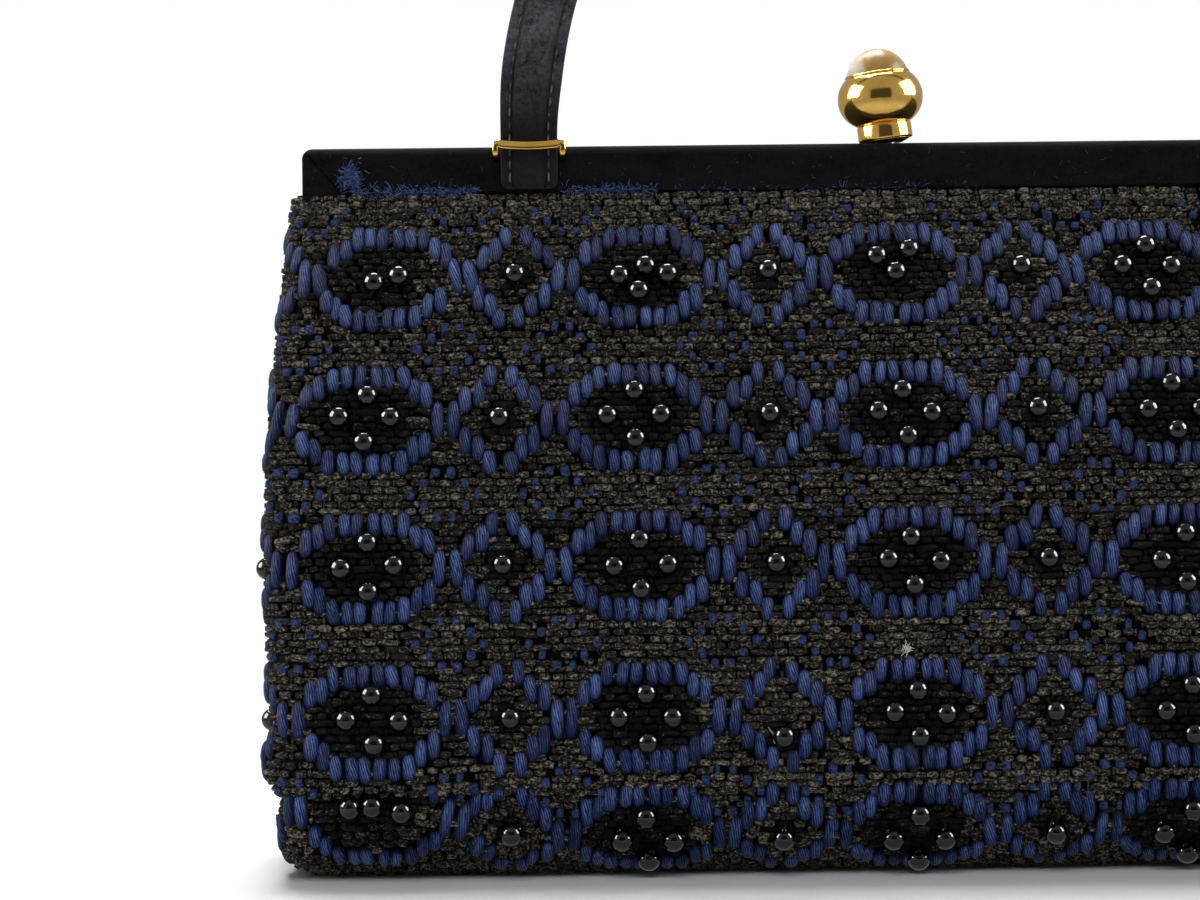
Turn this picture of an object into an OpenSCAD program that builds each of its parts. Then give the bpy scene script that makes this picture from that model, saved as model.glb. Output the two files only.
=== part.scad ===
/* [Bag body] */
// How far each end of the cloth swells out past the mouth
end_swell = 4; // [1:0.5:12]
// How far the front and the rear swell out past the mouth
belly_swell = 23.5; // [12:0.5:40]
// Height of the cloth's top edge above the floor
cloth_height = 141.5; // [110:0.5:190]
// Height at which the bag is deepest
belly_height = 30; // [26:1:50]
// Thickness of the woven cloth
cloth = 2; // [1.2:0.1:3]
// Radius of the upright corners
corner_radius = 7; // [5:0.5:10]
// Radius of the front and rear bottom edges
base_edge_radius = 22; // [14:0.5:25]
// Radius of the two end bottom edges
end_edge_radius = 12; // [6:0.5:20]
// Thickness of the lining
lining = 0.8; // [0.5:0.1:1.5]
// Thickness of the stiffener in the base
board = 2; // [1:0.1:3]

/* [Weave] */
// Distance between two large ovals along a row
motif_pitch = 56; // [50:0.5:70]
// Distance between rows of ovals, measured on the cloth
row_pitch = 31; // [28:0.5:40]
// Distance from the cloth's top edge to the first row
first_row = 18; // [15:0.5:24]
// Cloth taken up by the crease above the bottom row
crease = 5.5; // [0:0.5:8]
// Height of a yarn float above the cloth
float_height = 1.2; // [0.6:0.1:1.8]
// Width of one yarn float
float_width = 2.5; // [1.8:0.1:2.6]
// Diameter of a bead
bead_size = 4; // [3:0.1:5]

/* [Frame] */
// Length of the closed frame
frame_length = 250; // [200:1:300]
// Depth of one frame half
frame_depth = 12; // [11.5:0.1:16]
// Height of the frame bar
frame_height = 9.4; // [9:0.1:14]
// Width of the covered corner, seen from the front
leg_width = 8; // [7.5:0.1:12]
// Thickness of the suede covering
suede = 0.8; // [0.5:0.1:1.2]
// Thickness of the steel channel
sheet = 1; // [0.6:0.1:1.2]
// Thickness of a hinge leg
leg_plate = 2.5; // [1.5:0.1:2.7]
// Depth of the hinge below the top of the frame
hinge_drop = 50; // [35:0.5:60]
// Diameter of a hinge pin
hinge_pin = 3; // [2:0.1:4]

/* [Handle] */
// Distance between the two ends of the handle
handle_span = 154; // [110:1:190]
// Height of the handle above the frame
handle_rise = 92; // [70:1:160]
// Width of the handle strap
strap_width = 13; // [12:0.1:18]
// Thickness of the padded middle of the strap
strap_pad = 5.8; // [4:0.1:8]
// Length of a gilt staple
staple_length = 15.8; // [14:0.1:20]
// Diameter of the staple wire
staple_wire = 1.6; // [1.4:0.1:2.4]
// Thickness of a strap end under its staple
tab = 2.4; // [1.5:0.1:3]

/* [Clasp] */
// Lean of the clasp to the left at rest
clasp_lean = 7; // [0:0.5:8]
// Width of the gilt bulb
bulb_width = 18.2; // [16:0.1:22]
// Height of the gilt bulb
bulb_height = 12.4; // [10:0.1:15]
// Diameter of the collar under the bulb
collar_size = 11.6; // [9:0.1:12]
// Visible height of the collar
collar_height = 3.6; // [2:0.1:6]
// Height of the pearl above its seat
pearl_height = 5.6; // [3:0.1:6.5]

/* [Fits] */
// Gap between the two closed frame halves
frame_gap = 0.4; // [0.2:0.05:1]
// Gap between soft pieces and their neighbours
fit = 0.3; // [0.2:0.05:0.5]
// Gap at glued and sewn faces
glue = 0.05; // [0.02:0.01:0.1]
// Radial clearance of a turning pin
running = 0.05; // [0.02:0.01:0.1]

/* [Hidden] */

// frame levels and depths; the front is towards -Y
lip = 2.1;
frame_bottom = cloth_height + lip;
frame_top = frame_bottom + frame_height;
face_in = frame_gap / 2;
face_out = face_in + frame_depth;
skin = suede + glue;
wall = skin + sheet;
edge_round = 2.2;
sleeve_drop = lip - 0.5;
hinge_z = frame_top - hinge_drop;
eye_radius = hinge_pin / 2 + 3;
leg_outer = frame_length / 2 - skin;
leg_split = leg_outer - leg_plate;
leg_gap = 0.5;
leg_inner = leg_split - leg_gap - leg_plate;
pin_head = 0.8;

// cloth form
mouth_half_depth = face_out + fit;
mouth_half_width = frame_length / 2 + fit + cloth;
half_depth = mouth_half_depth + belly_swell;
rise = cloth_height - belly_height;
wall_sweep = 2 * atan(belly_swell / rise);
wall_radius = rise / sin(wall_sweep);
wall_length = wall_radius * wall_sweep * PI / 180;
straight = belly_height - base_edge_radius;
edge_start = wall_length + straight;
drop_length = edge_start + base_edge_radius * PI / 2;
end_middle = cloth_height / 2;
base_tuck = 1.5;
seam = 0.05;
wall_steps = 7;
edge_steps = 7;
corner_steps = 4;

// [half depth, height] of the front wall at distance v down the cloth, moved in by d
function profile(v, d) =
  v < wall_length
    ? let (a = wall_sweep - v / wall_radius * 180 / PI)
      [half_depth - wall_radius + (wall_radius - d) * cos(a), belly_height + (wall_radius - d) * sin(a)]
    : v < edge_start
      ? [half_depth - d, belly_height - (v - wall_length)]
      : let (a = (v - edge_start) / base_edge_radius * 180 / PI)
        [
          half_depth - base_edge_radius + (base_edge_radius - d) * cos(a),
          base_edge_radius - (base_edge_radius - d) * sin(a)
        ];

function drop_at(z) = wall_length - wall_radius * asin((z - belly_height) / wall_radius) * PI / 180;

function end_edge(z) =
  z < end_edge_radius ? end_edge_radius - sqrt(pow(end_edge_radius, 2) - pow(end_edge_radius - z, 2)) : 0;

function half_width(z) =
  mouth_half_width + (z > end_middle
    ? end_swell * (1 - pow((z - end_middle) / (cloth_height - end_middle), 2))
    : end_swell - base_tuck * pow((end_middle - z) / end_middle, 2) - end_edge(max(z, 0)));

// point of the front half of the cloth, s along the girth from the middle and v down from the top edge
function cloth_point(s, v) =
  let (
    p = profile(v, 0),
    hx = half_width(p[1]),
    flat = hx - corner_radius,
    bend = corner_radius * PI / 2,
    side = s < 0 ? -1 : 1,
    a = abs(s)
  )
  a < flat
    ? [s, -p[0], p[1]]
    : a < flat + bend
      ? let (b = (a - flat) / corner_radius * 180 / PI)
        [side * (flat + corner_radius * sin(b)), corner_radius * (1 - cos(b)) - p[0], p[1]]
      : [side * hx, corner_radius - p[0] + a - flat - bend, p[1]];

function unit(w) = w / norm(w);
function along(s, v) = unit(cloth_point(s + 0.05, v) - cloth_point(s - 0.05, v));
function upward(s, v) = unit(cloth_point(s, v - 0.05) - cloth_point(s, v + 0.05));
function outward(s, v) = unit(cross(along(s, v), upward(s, v)));
function seam_reach(v) =
  let (p = profile(v, 0))
  half_width(p[1]) - 2 * corner_radius + corner_radius * PI / 2 + p[0];

cloth_levels = concat(
  [for (i = [0:wall_steps]) wall_length * i / wall_steps],
  [for (i = [0:edge_steps]) edge_start + (drop_length - edge_start) * i / edge_steps]
);
cloth_halves = [for (v = cloth_levels) half_width(profile(v, 0)[1])];

board_bottom = cloth + glue;
lining_bottom = board_bottom + board + fit;
lining_gap = cloth + fit;
lining_end = edge_start + base_edge_radius * PI / 180
  * asin((base_edge_radius - lining_bottom) / (base_edge_radius - lining_gap));
shoulder_z = hinge_z - eye_radius - 2;
lining_top = cloth_height - 5.5;
lining_levels = concat(
  [for (z = [lining_top, (lining_top + shoulder_z) / 2, shoulder_z]) drop_at(z)],
  [drop_at((shoulder_z + belly_height) / 2), wall_length],
  [for (i = [0:3]) edge_start + (lining_end - edge_start) * i / 3]
);
lining_neck = leg_inner - pin_head - 2 * fit;
lining_halves = [
  for (i = [0:len(lining_levels) - 1])
    i < 3 ? lining_neck : half_width(profile(lining_levels[i], 0)[1]) - lining_gap
];

function section(v, half, d, moved) =
  let (p = profile(v, d), r = corner_radius - d, x = half - moved)
  concat(
    [[x, -seam, p[1]]],
    [for (i = [0:corner_steps]) let (a = 90 * i / corner_steps) [x - r + r * cos(a), r - p[0] - r * sin(a), p[1]]],
    [for (i = [corner_steps:-1:0]) let (a = 90 * i / corner_steps) [r - x - r * cos(a), r - p[0] - r * sin(a), p[1]]],
    [[-x, -seam, p[1]]]
  );

// front half of an open bag, from inset d down to a floor, with walls of the given thickness
module half_bag(levels, halves, d, thick) {
  n = 2 * corner_steps + 4;
  m = len(levels) - 1;
  inner = n * (m + 1);
  points = concat(
    [for (j = [0:m]) each section(levels[j], halves[j], d, 0)],
    [for (j = [0:m]) each section(levels[j], halves[j], d + thick, thick)]
  );
  faces = concat(
    [for (j = [0:m - 1], i = [0:n - 2]) let (a = j * n + i) each [[a, a + n, a + n + 1], [a, a + n + 1, a + 1]]],
    [
      for (j = [0:m - 1], i = [0:n - 2])
        let (a = inner + j * n + i) each [[a, a + 1, a + n + 1], [a, a + n + 1, a + n]]
    ],
    [for (i = [0:n - 2]) each [[i, i + 1, inner + i + 1], [i, inner + i + 1, inner + i]]],
    [[for (i = [n - 1:-1:0]) m * n + i]],
    [[for (i = [0:n - 1]) inner + m * n + i]],
    [
      for (j = [0:m - 1])
        let (a = j * n, b = inner + j * n) each [[a, b, b + n], [a, b + n, a + n]]
    ],
    [
      for (j = [0:m - 1])
        let (a = j * n + n - 1, b = inner + a) each [[a, b + n, b], [a, a + n, b + n]]
    ],
    [[m * n, inner + m * n, inner + m * n + n - 1], [m * n, inner + m * n + n - 1, m * n + n - 1]]
  );
  polyhedron(points, faces, convexity = 4);
}

module front_cloth() {
  color([0.14, 0.13, 0.13]) half_bag(cloth_levels, cloth_halves, 0, cloth);
}

module rear_cloth() {
  color([0.14, 0.13, 0.13]) mirror([0, 1, 0]) half_bag(cloth_levels, cloth_halves, 0, cloth);
}

module front_lining() {
  color([0.2, 0.2, 0.24]) half_bag(lining_levels, lining_halves, lining_gap, lining);
}

module rear_lining() {
  color([0.2, 0.2, 0.24]) mirror([0, 1, 0]) half_bag(lining_levels, lining_halves, lining_gap, lining);
}

module base_board() {
  length = 2 * (half_width(0) - cloth - corner_radius);
  depth = 2 * (half_depth - base_edge_radius);
  color([0.55, 0.45, 0.32]) translate([-length / 2, -depth / 2, board_bottom]) cube([length, depth, board]);
}

// yarn floats: [offset along the row, far end, near end, width] from a motif's middle
pair = float_width * 1.9;
oval_floats = [[3, 11.6, 6.6, pair], [7.5, 11.5, 6, float_width], [11.2, 8.7, 3, pair * 0.95]];
diamond_floats = [[2.2, 11.6, 6.6, float_width * 0.9], [5.8, 8.1, 2.1, pair]];
link_floats = [[15, 4.1], [18.2, 4.1]];
float_lift = 0.1;
base_margin = 9;
seam_room = 0.6;

row_count = floor((drop_length + crease - first_row - 11.6) / row_pitch) + 1;
function row_drop(k) = first_row + row_pitch * k - (k == row_count - 1 ? crease : 0);
motif_count = ceil((half_width(end_middle) + half_depth) / motif_pitch);

function fits(s, v, w, l) =
  abs(s) + w / 2 + seam_room < min(seam_reach(v - l / 2), seam_reach(v), seam_reach(v + l / 2))
    && v + l / 2 < drop_length - base_margin;

function ring_floats(x, y, list) = [
  for (f = list, side = [-1, 1], way = [-1, 1])
    let (s = x + side * f[0], v = y + way * (f[1] + f[2]) / 2, l = f[1] - f[2])
    if (fits(s, v, f[3], l)) [s, v, f[3], l]
];

function all_floats() = [
  for (k = [0:row_count - 1], i = [-motif_count:motif_count])
    let (x = i * motif_pitch, y = row_drop(k))
    each concat(
      ring_floats(x, y, oval_floats),
      ring_floats(x + motif_pitch / 2, y, diamond_floats),
      [
        for (f = link_floats, side = [-1, 1])
          let (s = x + side * f[0])
          if (fits(s, y, float_width, 2 * f[1])) [s, y, float_width, 2 * f[1]]
      ]
    )
];

// a float is a hipped ridge on the plane that touches the cloth at its middle
function float_points(f) =
  let (
    u = along(f[0], f[1]),
    w = upward(f[0], f[1]),
    n = outward(f[0], f[1]),
    c = cloth_point(f[0], f[1]) + float_lift * n,
    a = u * f[2] / 2,
    b = w * f[3] / 2,
    ridge = w * (f[3] - f[2] * 0.7) / 2,
    top = c + float_height * n
  )
  [c - a - b, c + a - b, c + a + b, c - a + b, top - ridge, top + ridge];

module floats() {
  list = all_floats();
  faces = [[0, 1, 2], [0, 2, 3], [0, 4, 1], [2, 5, 3], [1, 4, 5], [1, 5, 2], [3, 5, 4], [3, 4, 0]];
  polyhedron(
    [for (f = list) each float_points(f)],
    [for (i = [0:len(list) - 1], t = faces) [for (p = t) p + 6 * i]]
  );
}

module front_floats() {
  color([0.12, 0.15, 0.33]) floats();
}

module rear_floats() {
  color([0.12, 0.15, 0.33]) mirror([0, 1, 0]) floats();
}

// beads: places in a motif as [along, up]; the front's worn motifs are [motif, row, places]
oval_beads = [[-5.5, 0], [5.5, 0], [0, 5], [0, -5]];
diamond_beads = [[0, 0]];
worn_ovals = [
  [-2, 0, [[-2.5, -1.5], [2.5, -0.4]]],
  [-1, 0, [[-5, -0.6], [0.6, 1.3], [5.4, 0], [-0.2, -3.9]]],
  [0, 0, [[-3.9, 2.9], [3.5, 4.3], [0.4, -0.6]]],
  [-2, 4, [[-5.5, 0], [0, 5], [5.5, 0]]]
];
worn_diamonds = [[-1, 3, [[0, -4.5]]], [-3, 0, []], [-3, 1, []], [-3, 4, []]];
bead_lift = bead_size / 2 + 0.1;

function worn(list, i, k) = [for (w = list) if (w[0] == i && w[1] == k) w[2]];
function places(list, usual, i, k, worn_side) =
  let (found = worn(list, i, k)) worn_side && len(found) > 0 ? found[0] : usual;

module beads(worn_side) {
  for (k = [0:row_count - 1], i = [-motif_count:motif_count]) {
    y = row_drop(k);
    x = i * motif_pitch;
    spots = concat(
      [for (p = places(worn_ovals, oval_beads, i, k, worn_side)) [x + p[0], y - p[1]]],
      [for (p = places(worn_diamonds, diamond_beads, i, k, worn_side)) [x + motif_pitch / 2 + p[0], y - p[1]]]
    );
    for (p = spots)
      if (fits(p[0], p[1], bead_size, bead_size))
        translate(cloth_point(p[0], p[1]) + bead_lift * outward(p[0], p[1])) sphere(d = bead_size, $fn = 16);
  }
}

module front_beads() {
  color([0.03, 0.03, 0.03]) beads(true);
}

module rear_beads() {
  color([0.03, 0.03, 0.03]) mirror([0, 1, 0]) beads(false);
}

// frame bar, inset by d and open below by the given drop
module bar_section(d, drop) {
  r = edge_round - d;
  translate([d - face_out, frame_bottom - drop]) square([frame_depth - 2 * d, frame_height - d - r + drop]);
  translate([d - face_out + r, frame_bottom - drop]) square([frame_depth - 2 * d - r, frame_height - d + drop]);
  translate([d - face_out + r, frame_top - d - r]) circle(r, $fn = 48);
}

module bar(d, drop) {
  length = frame_length - 2 * d;
  rotate([90, 0, 90]) translate([0, 0, -length / 2]) linear_extrude(length) bar_section(d, drop);
}

module sleeve(side, d, drop) {
  low = frame_bottom - drop;
  width = leg_width - 2 * d;
  translate([side * (frame_length - leg_width) / 2 - width / 2, d - face_out, low])
    cube([width, frame_depth - 2 * d, frame_bottom + 1 - low]);
}

mitre = 0.3;
module mitre_groove(side) {
  fall = atan(leg_width / frame_height);
  translate([side * frame_length / 2, -face_out, frame_top])
    rotate([0, side * fall, 0])
      translate([-mitre / 2, -mitre, -2 * frame_height]) cube([mitre, 2 * mitre, 3 * frame_height]);
}

module staple_holes() {
  for (side = [-1, 1], end = [-1, 1])
    translate([side * handle_span / 2 + end * prong_offset, 0, prong_z])
      rotate([90, 0, 0]) cylinder(d = staple_wire + 2 * glue, h = face_out + 1, $fn = 32);
}

// clasp places
clasp_y = -(face_in + frame_depth / 2);
stem = 4;
pivot_z = frame_top - 4.8;
pivot_pin = 2;
collar_rise = frame_top - pivot_z + collar_size / 2 * sin(clasp_lean) + 0.3;
nose_width = 3.6;
nose_height = 1.3;
nose_low = -3.4;
keeper_plate = 1;
nose_reach = wall + face_in + keeper_plate + 0.3;

module stem_slot() {
  reach = stem / 2 + (frame_top - pivot_z) * tan(clasp_lean) + 2 * fit;
  depth = stem / 2 + fit;
  translate([-reach, clasp_y - depth, frame_top - wall - 1]) cube([2 * reach, 2 * depth, wall + 2]);
}

module nose_window() {
  reach = nose_width / 2 + 2 * fit;
  low = pivot_z + nose_low - fit;
  translate([-reach, -wall - face_in - 1, low]) cube([2 * reach, wall + face_in + 2, nose_height + 2.5 * fit]);
}

module frame_cover() {
  difference() {
    union() {
      bar(0, 0);
      for (side = [-1, 1]) sleeve(side, 0, sleeve_drop);
    }
    bar(suede, 1);
    for (side = [-1, 1]) {
      sleeve(side, suede, sleeve_drop + 1);
      mitre_groove(side);
    }
    children();
  }
}

module frame_channel(plane) {
  knee = frame_bottom - sleeve_drop - 2;
  difference() {
    bar(skin, 0);
    bar(wall, 1);
    children();
  }
  for (side = [0, 1]) mirror([side, 0, 0]) translate([plane, 0, 0])
    difference() {
      rotate([90, 0, 90]) linear_extrude(leg_plate) union() {
        polygon([
          [-face_out + wall + 1.5, frame_top - skin - sheet / 2],
          [-face_in - skin, frame_top - skin - sheet / 2],
          [-face_in - skin, knee],
          [eye_radius, hinge_z],
          [-eye_radius, hinge_z],
          [-face_out + wall + 1.5, knee]
        ]);
        translate([0, hinge_z]) circle(eye_radius, $fn = 48);
      }
      translate([-1, 0, hinge_z]) rotate([0, 90, 0])
        cylinder(r = hinge_pin / 2 + running, h = leg_plate + 2, $fn = 48);
    }
}

module pivot_holes() {
  translate([0, 0, pivot_z]) rotate([90, 0, 0]) cylinder(d = pivot_pin + 2 * glue, h = face_out - skin / 2, $fn = 32);
}

module front_frame_channel() {
  color([0.6, 0.6, 0.62]) frame_channel(leg_split) {
    staple_holes();
    stem_slot();
    nose_window();
    pivot_holes();
  }
}

module front_frame_cover() {
  color([0.06, 0.06, 0.07]) frame_cover() {
    staple_holes();
    stem_slot();
    nose_window();
  }
}

module rear_frame_channel() {
  color([0.6, 0.6, 0.62]) mirror([0, 1, 0]) frame_channel(leg_inner) nose_window();
}

module rear_frame_cover() {
  color([0.06, 0.06, 0.07]) mirror([0, 1, 0]) frame_cover() nose_window();
}

// cloth edge held in the channel
module hem() {
  length = frame_length - 2 * leg_width - 2 * sheet;
  thick = cloth * 0.9;
  low = lining_top + fit;
  high = pivot_z + nose_low - fit;
  translate([-length / 2, wall + 2 * glue - face_out, low]) cube([length, thick, high - low]);
}

module front_hem() {
  color([0.1, 0.13, 0.26]) hem();
}

module rear_hem() {
  color([0.1, 0.13, 0.26]) mirror([0, 1, 0]) hem();
}

module hinge_rivet() {
  low = leg_inner - 2 * running - pin_head;
  high = leg_outer + 2 * running;
  translate([0, 0, hinge_z]) rotate([0, 90, 0]) {
    translate([0, 0, low]) cylinder(d = hinge_pin, h = high + pin_head - low, $fn = 48);
    for (z = [low, high]) translate([0, 0, z]) cylinder(r = hinge_pin / 2 + 1.4, h = pin_head, $fn = 48);
  }
}

module left_hinge_pin() {
  color([0.75, 0.72, 0.65]) mirror([1, 0, 0]) hinge_rivet();
}

module right_hinge_pin() {
  color([0.75, 0.72, 0.65]) hinge_rivet();
}

// handle ends: the staple bar stands in front of the strap and its legs turn back into the frame
staple_y = -(face_out + glue + tab + 0.6 + staple_wire / 2);
staple_z = frame_top + 0.2;
prong_offset = (staple_length - staple_wire) / 2;
prong_z = frame_top - 2.4;
staple_bow = 0.5;
prong_end = -(face_out - wall + 0.1);
tab_width = staple_length - 2 * staple_wire - 2 * fit;
strap_y = -(face_out + glue + tab / 2 + 0.25);
strap_root = staple_z + 1.4;

module wire(h) {
  cylinder(d = staple_wire, h = h, $fn = 32);
}

module staple() {
  bow = (pow(prong_offset, 2) + pow(staple_bow, 2)) / (2 * staple_bow);
  half_angle = asin(prong_offset / bow);
  translate([0, staple_y, staple_z - staple_bow + bow])
    rotate([90, 0, 0]) rotate([0, 0, -90 - half_angle])
      rotate_extrude(angle = 2 * half_angle, $fn = 96) translate([bow, 0]) circle(d = staple_wire, $fn = 32);
  for (end = [-1, 1]) translate([end * prong_offset, staple_y, 0]) {
    translate([0, 0, prong_z]) wire(staple_z - prong_z);
    translate([0, 0, prong_z]) rotate([-90, 0, 0]) wire(prong_end - staple_y);
    for (z = [prong_z, staple_z]) translate([0, 0, z]) sphere(d = staple_wire, $fn = 32);
  }
}

module left_staple() {
  color([0.83, 0.66, 0.28]) translate([-handle_span / 2, 0, 0]) staple();
}

module right_staple() {
  color([0.83, 0.66, 0.28]) translate([handle_span / 2, 0, 0]) staple();
}

module strap_end() {
  r = 1.5;
  low = frame_bottom + 0.2;
  high = staple_z + 0.1;
  translate([0, -face_out - glue, 0]) rotate([90, 0, 0]) linear_extrude(tab) union() {
    translate([-tab_width / 2, low + r]) square([tab_width, high - low - r]);
    translate([r - tab_width / 2, low]) square([tab_width - 2 * r, r + 1]);
    for (side = [-1, 1]) translate([side * (tab_width / 2 - r), low + r]) circle(r, $fn = 32);
  }
}

module left_strap_end() {
  color([0.12, 0.12, 0.13]) translate([-handle_span / 2, 0, 0]) strap_end();
}

module right_strap_end() {
  color([0.12, 0.12, 0.13]) translate([handle_span / 2, 0, 0]) strap_end();
}

// strap swept over an arch, turning from face-on at its ends to flat at the top
strap_flange = 1.8;
strap_steps = 30;
strap_angles = concat([0, 2, 4], [for (i = [1:strap_steps - 1]) 180 * i / strap_steps], [176, 178, 180]);

function strap_section(grow) =
  let (
    w = (strap_width * grow + tab_width * (1 - grow)) / 2,
    d = (strap_pad * grow + tab * (1 - grow)) / 2,
    e = strap_flange / 2
  )
  [
    [w, e], [w * 0.68, e * 1.3], [w * 0.4, d], [-w * 0.4, d], [-w * 0.68, e * 1.3], [-w, e],
    [-w, -e], [-w * 0.68, -e * 1.3], [-w * 0.4, -d], [w * 0.4, -d], [w * 0.68, -e * 1.3], [w, -e]
  ];

function strap_ring(a) =
  let (
    turn = a < 90 ? a : 180 - a,
    grow = min(1, handle_rise * sin(a) / 14),
    c = [-handle_span / 2 * cos(a), strap_y, strap_root + handle_rise * sin(a)],
    t = unit([handle_span / 2 * sin(a), 0, handle_rise * cos(a)]),
    out = [-t[2], 0, t[0]],
    w = out * cos(turn) - [0, sin(turn), 0],
    d = cross(t, w)
  )
  [for (p = strap_section(grow)) c + w * p[0] + d * p[1]];

module handle_strap() {
  n = len(strap_section(1));
  m = len(strap_angles) - 1;
  color([0.14, 0.14, 0.16]) polyhedron(
    [for (a = strap_angles) each strap_ring(a)],
    concat(
      [
        for (j = [0:m - 1], i = [0:n - 1])
          let (a = j * n + i, b = j * n + (i + 1) % n) each [[a, a + n, b + n], [a, b + n, b]]
      ],
      [[for (i = [0:n - 1]) i]],
      [[for (i = [n - 1:-1:0]) m * n + i]]
    ),
    convexity = 4
  );
}

// clasp: everything that tilts is drawn about the pivot and leaned
module leaning() {
  translate([0, clasp_y, pivot_z]) rotate([0, -clasp_lean, 0]) children();
}

bulb_radius = bulb_height / 2;
bulb_flat = bulb_width / 2 - bulb_radius;
bulb_meet = sqrt(pow(bulb_radius, 2) - pow(collar_size / 2 - bulb_flat, 2));
bulb_z = collar_rise + collar_height + bulb_meet;
seat_rise = bulb_radius * 0.8;
seat_radius = bulb_flat + bulb_radius * 0.6;
stem_depth = 3;
stem_top = bulb_z - bulb_radius + stem_depth;

module bulb_section(grow) {
  r = bulb_radius + grow;
  intersection() {
    union() {
      translate([bulb_flat, 0]) circle(r, $fn = 96);
      translate([0, -r]) square([bulb_flat, 2 * r]);
    }
    translate([0, -bulb_height]) square([bulb_width, 2 * bulb_height]);
  }
}

module clasp_bulb() {
  color([0.83, 0.66, 0.28]) leaning() rotate_extrude($fn = 96) difference() {
    translate([0, bulb_z]) bulb_section(0);
    translate([-1, bulb_z + seat_rise]) square([bulb_width, bulb_height]);
    translate([-1, 0]) square([1 + stem / 2 + glue, stem_top + glue]);
  }
}

module clasp_collar() {
  color([0.83, 0.66, 0.28]) leaning() rotate_extrude($fn = 96) difference() {
    translate([stem / 2 + glue, collar_rise]) square([collar_size / 2 - stem / 2 - glue, bulb_z - collar_rise]);
    translate([0, bulb_z]) bulb_section(glue);
  }
}

module clasp_pearl() {
  ball = (pow(seat_radius, 2) + pow(pearl_height, 2)) / (2 * pearl_height);
  color([0.9, 0.84, 0.74]) leaning() rotate_extrude($fn = 96) intersection() {
    translate([0, bulb_z + seat_rise + pearl_height - ball]) circle(ball, $fn = 96);
    translate([0, bulb_z + seat_rise + glue]) square([bulb_width, 2 * pearl_height]);
  }
}

lever_width = 4.4;
module clasp_lever() {
  half = stem / 2;
  color([0.7, 0.68, 0.62]) leaning() difference() {
    union() {
      cylinder(d = stem, h = stem_top, $fn = 48);
      translate([-lever_width / 2, -half, nose_low]) cube([lever_width, stem, 2 - nose_low]);
      translate([-nose_width / 2, 0, nose_low]) cube([nose_width, nose_reach - clasp_y, nose_height]);
    }
    translate([0, half + 1, 0]) rotate([90, 0, 0]) cylinder(d = pivot_pin + 2 * running, h = stem + 2, $fn = 32);
  }
}

module clasp_pivot_pin() {
  near = face_in + skin + glue;
  color([0.75, 0.72, 0.65]) translate([0, -near, pivot_z]) rotate([90, 0, 0])
    cylinder(d = pivot_pin, h = frame_depth - 2 * skin - 2 * glue, $fn = 32);
}

// leaf that pushes the lever back, riveted under the channel's top
module clasp_spring() {
  leaf = 0.4;
  root = lever_width / 2 + 5;
  top = frame_top - wall - glue;
  tip = lever_width / 2 + 2 * fit;
  tip_z = pivot_z - 1;
  color([0.6, 0.6, 0.65]) translate([0, clasp_y + 1, 0]) rotate([90, 0, 0]) linear_extrude(2)
    polygon([
      [root + 5, top], [root, top], [tip, tip_z], [tip + leaf, tip_z],
      [root + leaf / 2, top - leaf], [root + 5, top - leaf]
    ]);
}

module clasp_keeper() {
  low = pivot_z + nose_low - 2 * fit;
  high = low + nose_height + 6 * fit;
  reach = nose_width / 2 + 2 * fit;
  color([0.75, 0.72, 0.65]) difference() {
    translate([-reach - 2, face_in + wall + glue, low - 0.4]) cube([2 * reach + 4, keeper_plate, high - low + 2.5]);
    translate([-reach, face_in + wall, low + 0.2]) cube([2 * reach, keeper_plate + 1, high - low - 0.2]);
  }
}

front_cloth();
rear_cloth();
front_lining();
rear_lining();
base_board();
front_floats();
rear_floats();
front_beads();
rear_beads();
left_hinge_pin();
right_hinge_pin();
front_frame_channel();
front_frame_cover();
front_hem();
rear_frame_channel();
rear_frame_cover();
rear_hem();
left_staple();
right_staple();
left_strap_end();
right_strap_end();
handle_strap();
clasp_pivot_pin();
clasp_spring();
clasp_keeper();
clasp_lever();
clasp_collar();
clasp_bulb();
clasp_pearl();
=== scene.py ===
import math

import bmesh
import bpy
import numpy as np
from mathutils import Matrix, Vector


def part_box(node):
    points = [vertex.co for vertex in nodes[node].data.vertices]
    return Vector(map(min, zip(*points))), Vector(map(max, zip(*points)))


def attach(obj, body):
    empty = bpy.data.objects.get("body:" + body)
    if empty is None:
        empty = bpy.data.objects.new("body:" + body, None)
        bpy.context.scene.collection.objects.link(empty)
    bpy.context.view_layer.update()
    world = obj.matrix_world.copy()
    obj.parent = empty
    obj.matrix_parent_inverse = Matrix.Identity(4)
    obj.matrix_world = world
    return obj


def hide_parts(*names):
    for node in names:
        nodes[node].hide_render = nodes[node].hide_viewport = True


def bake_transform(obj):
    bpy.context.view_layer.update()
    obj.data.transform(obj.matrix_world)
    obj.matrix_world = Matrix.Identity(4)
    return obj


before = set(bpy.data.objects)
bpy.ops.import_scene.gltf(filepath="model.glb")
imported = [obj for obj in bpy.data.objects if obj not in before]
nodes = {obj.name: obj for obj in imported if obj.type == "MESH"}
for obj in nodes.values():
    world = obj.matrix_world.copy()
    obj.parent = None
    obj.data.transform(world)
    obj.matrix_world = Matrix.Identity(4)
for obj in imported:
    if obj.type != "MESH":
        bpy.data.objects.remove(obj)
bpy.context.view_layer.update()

mm = 0.001  # shapes are worked out in mm
seeds = {"weave": 11, "floats": 21, "beads": 31, "stitches": 41, "fray": 51, "lint": 61}


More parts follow.
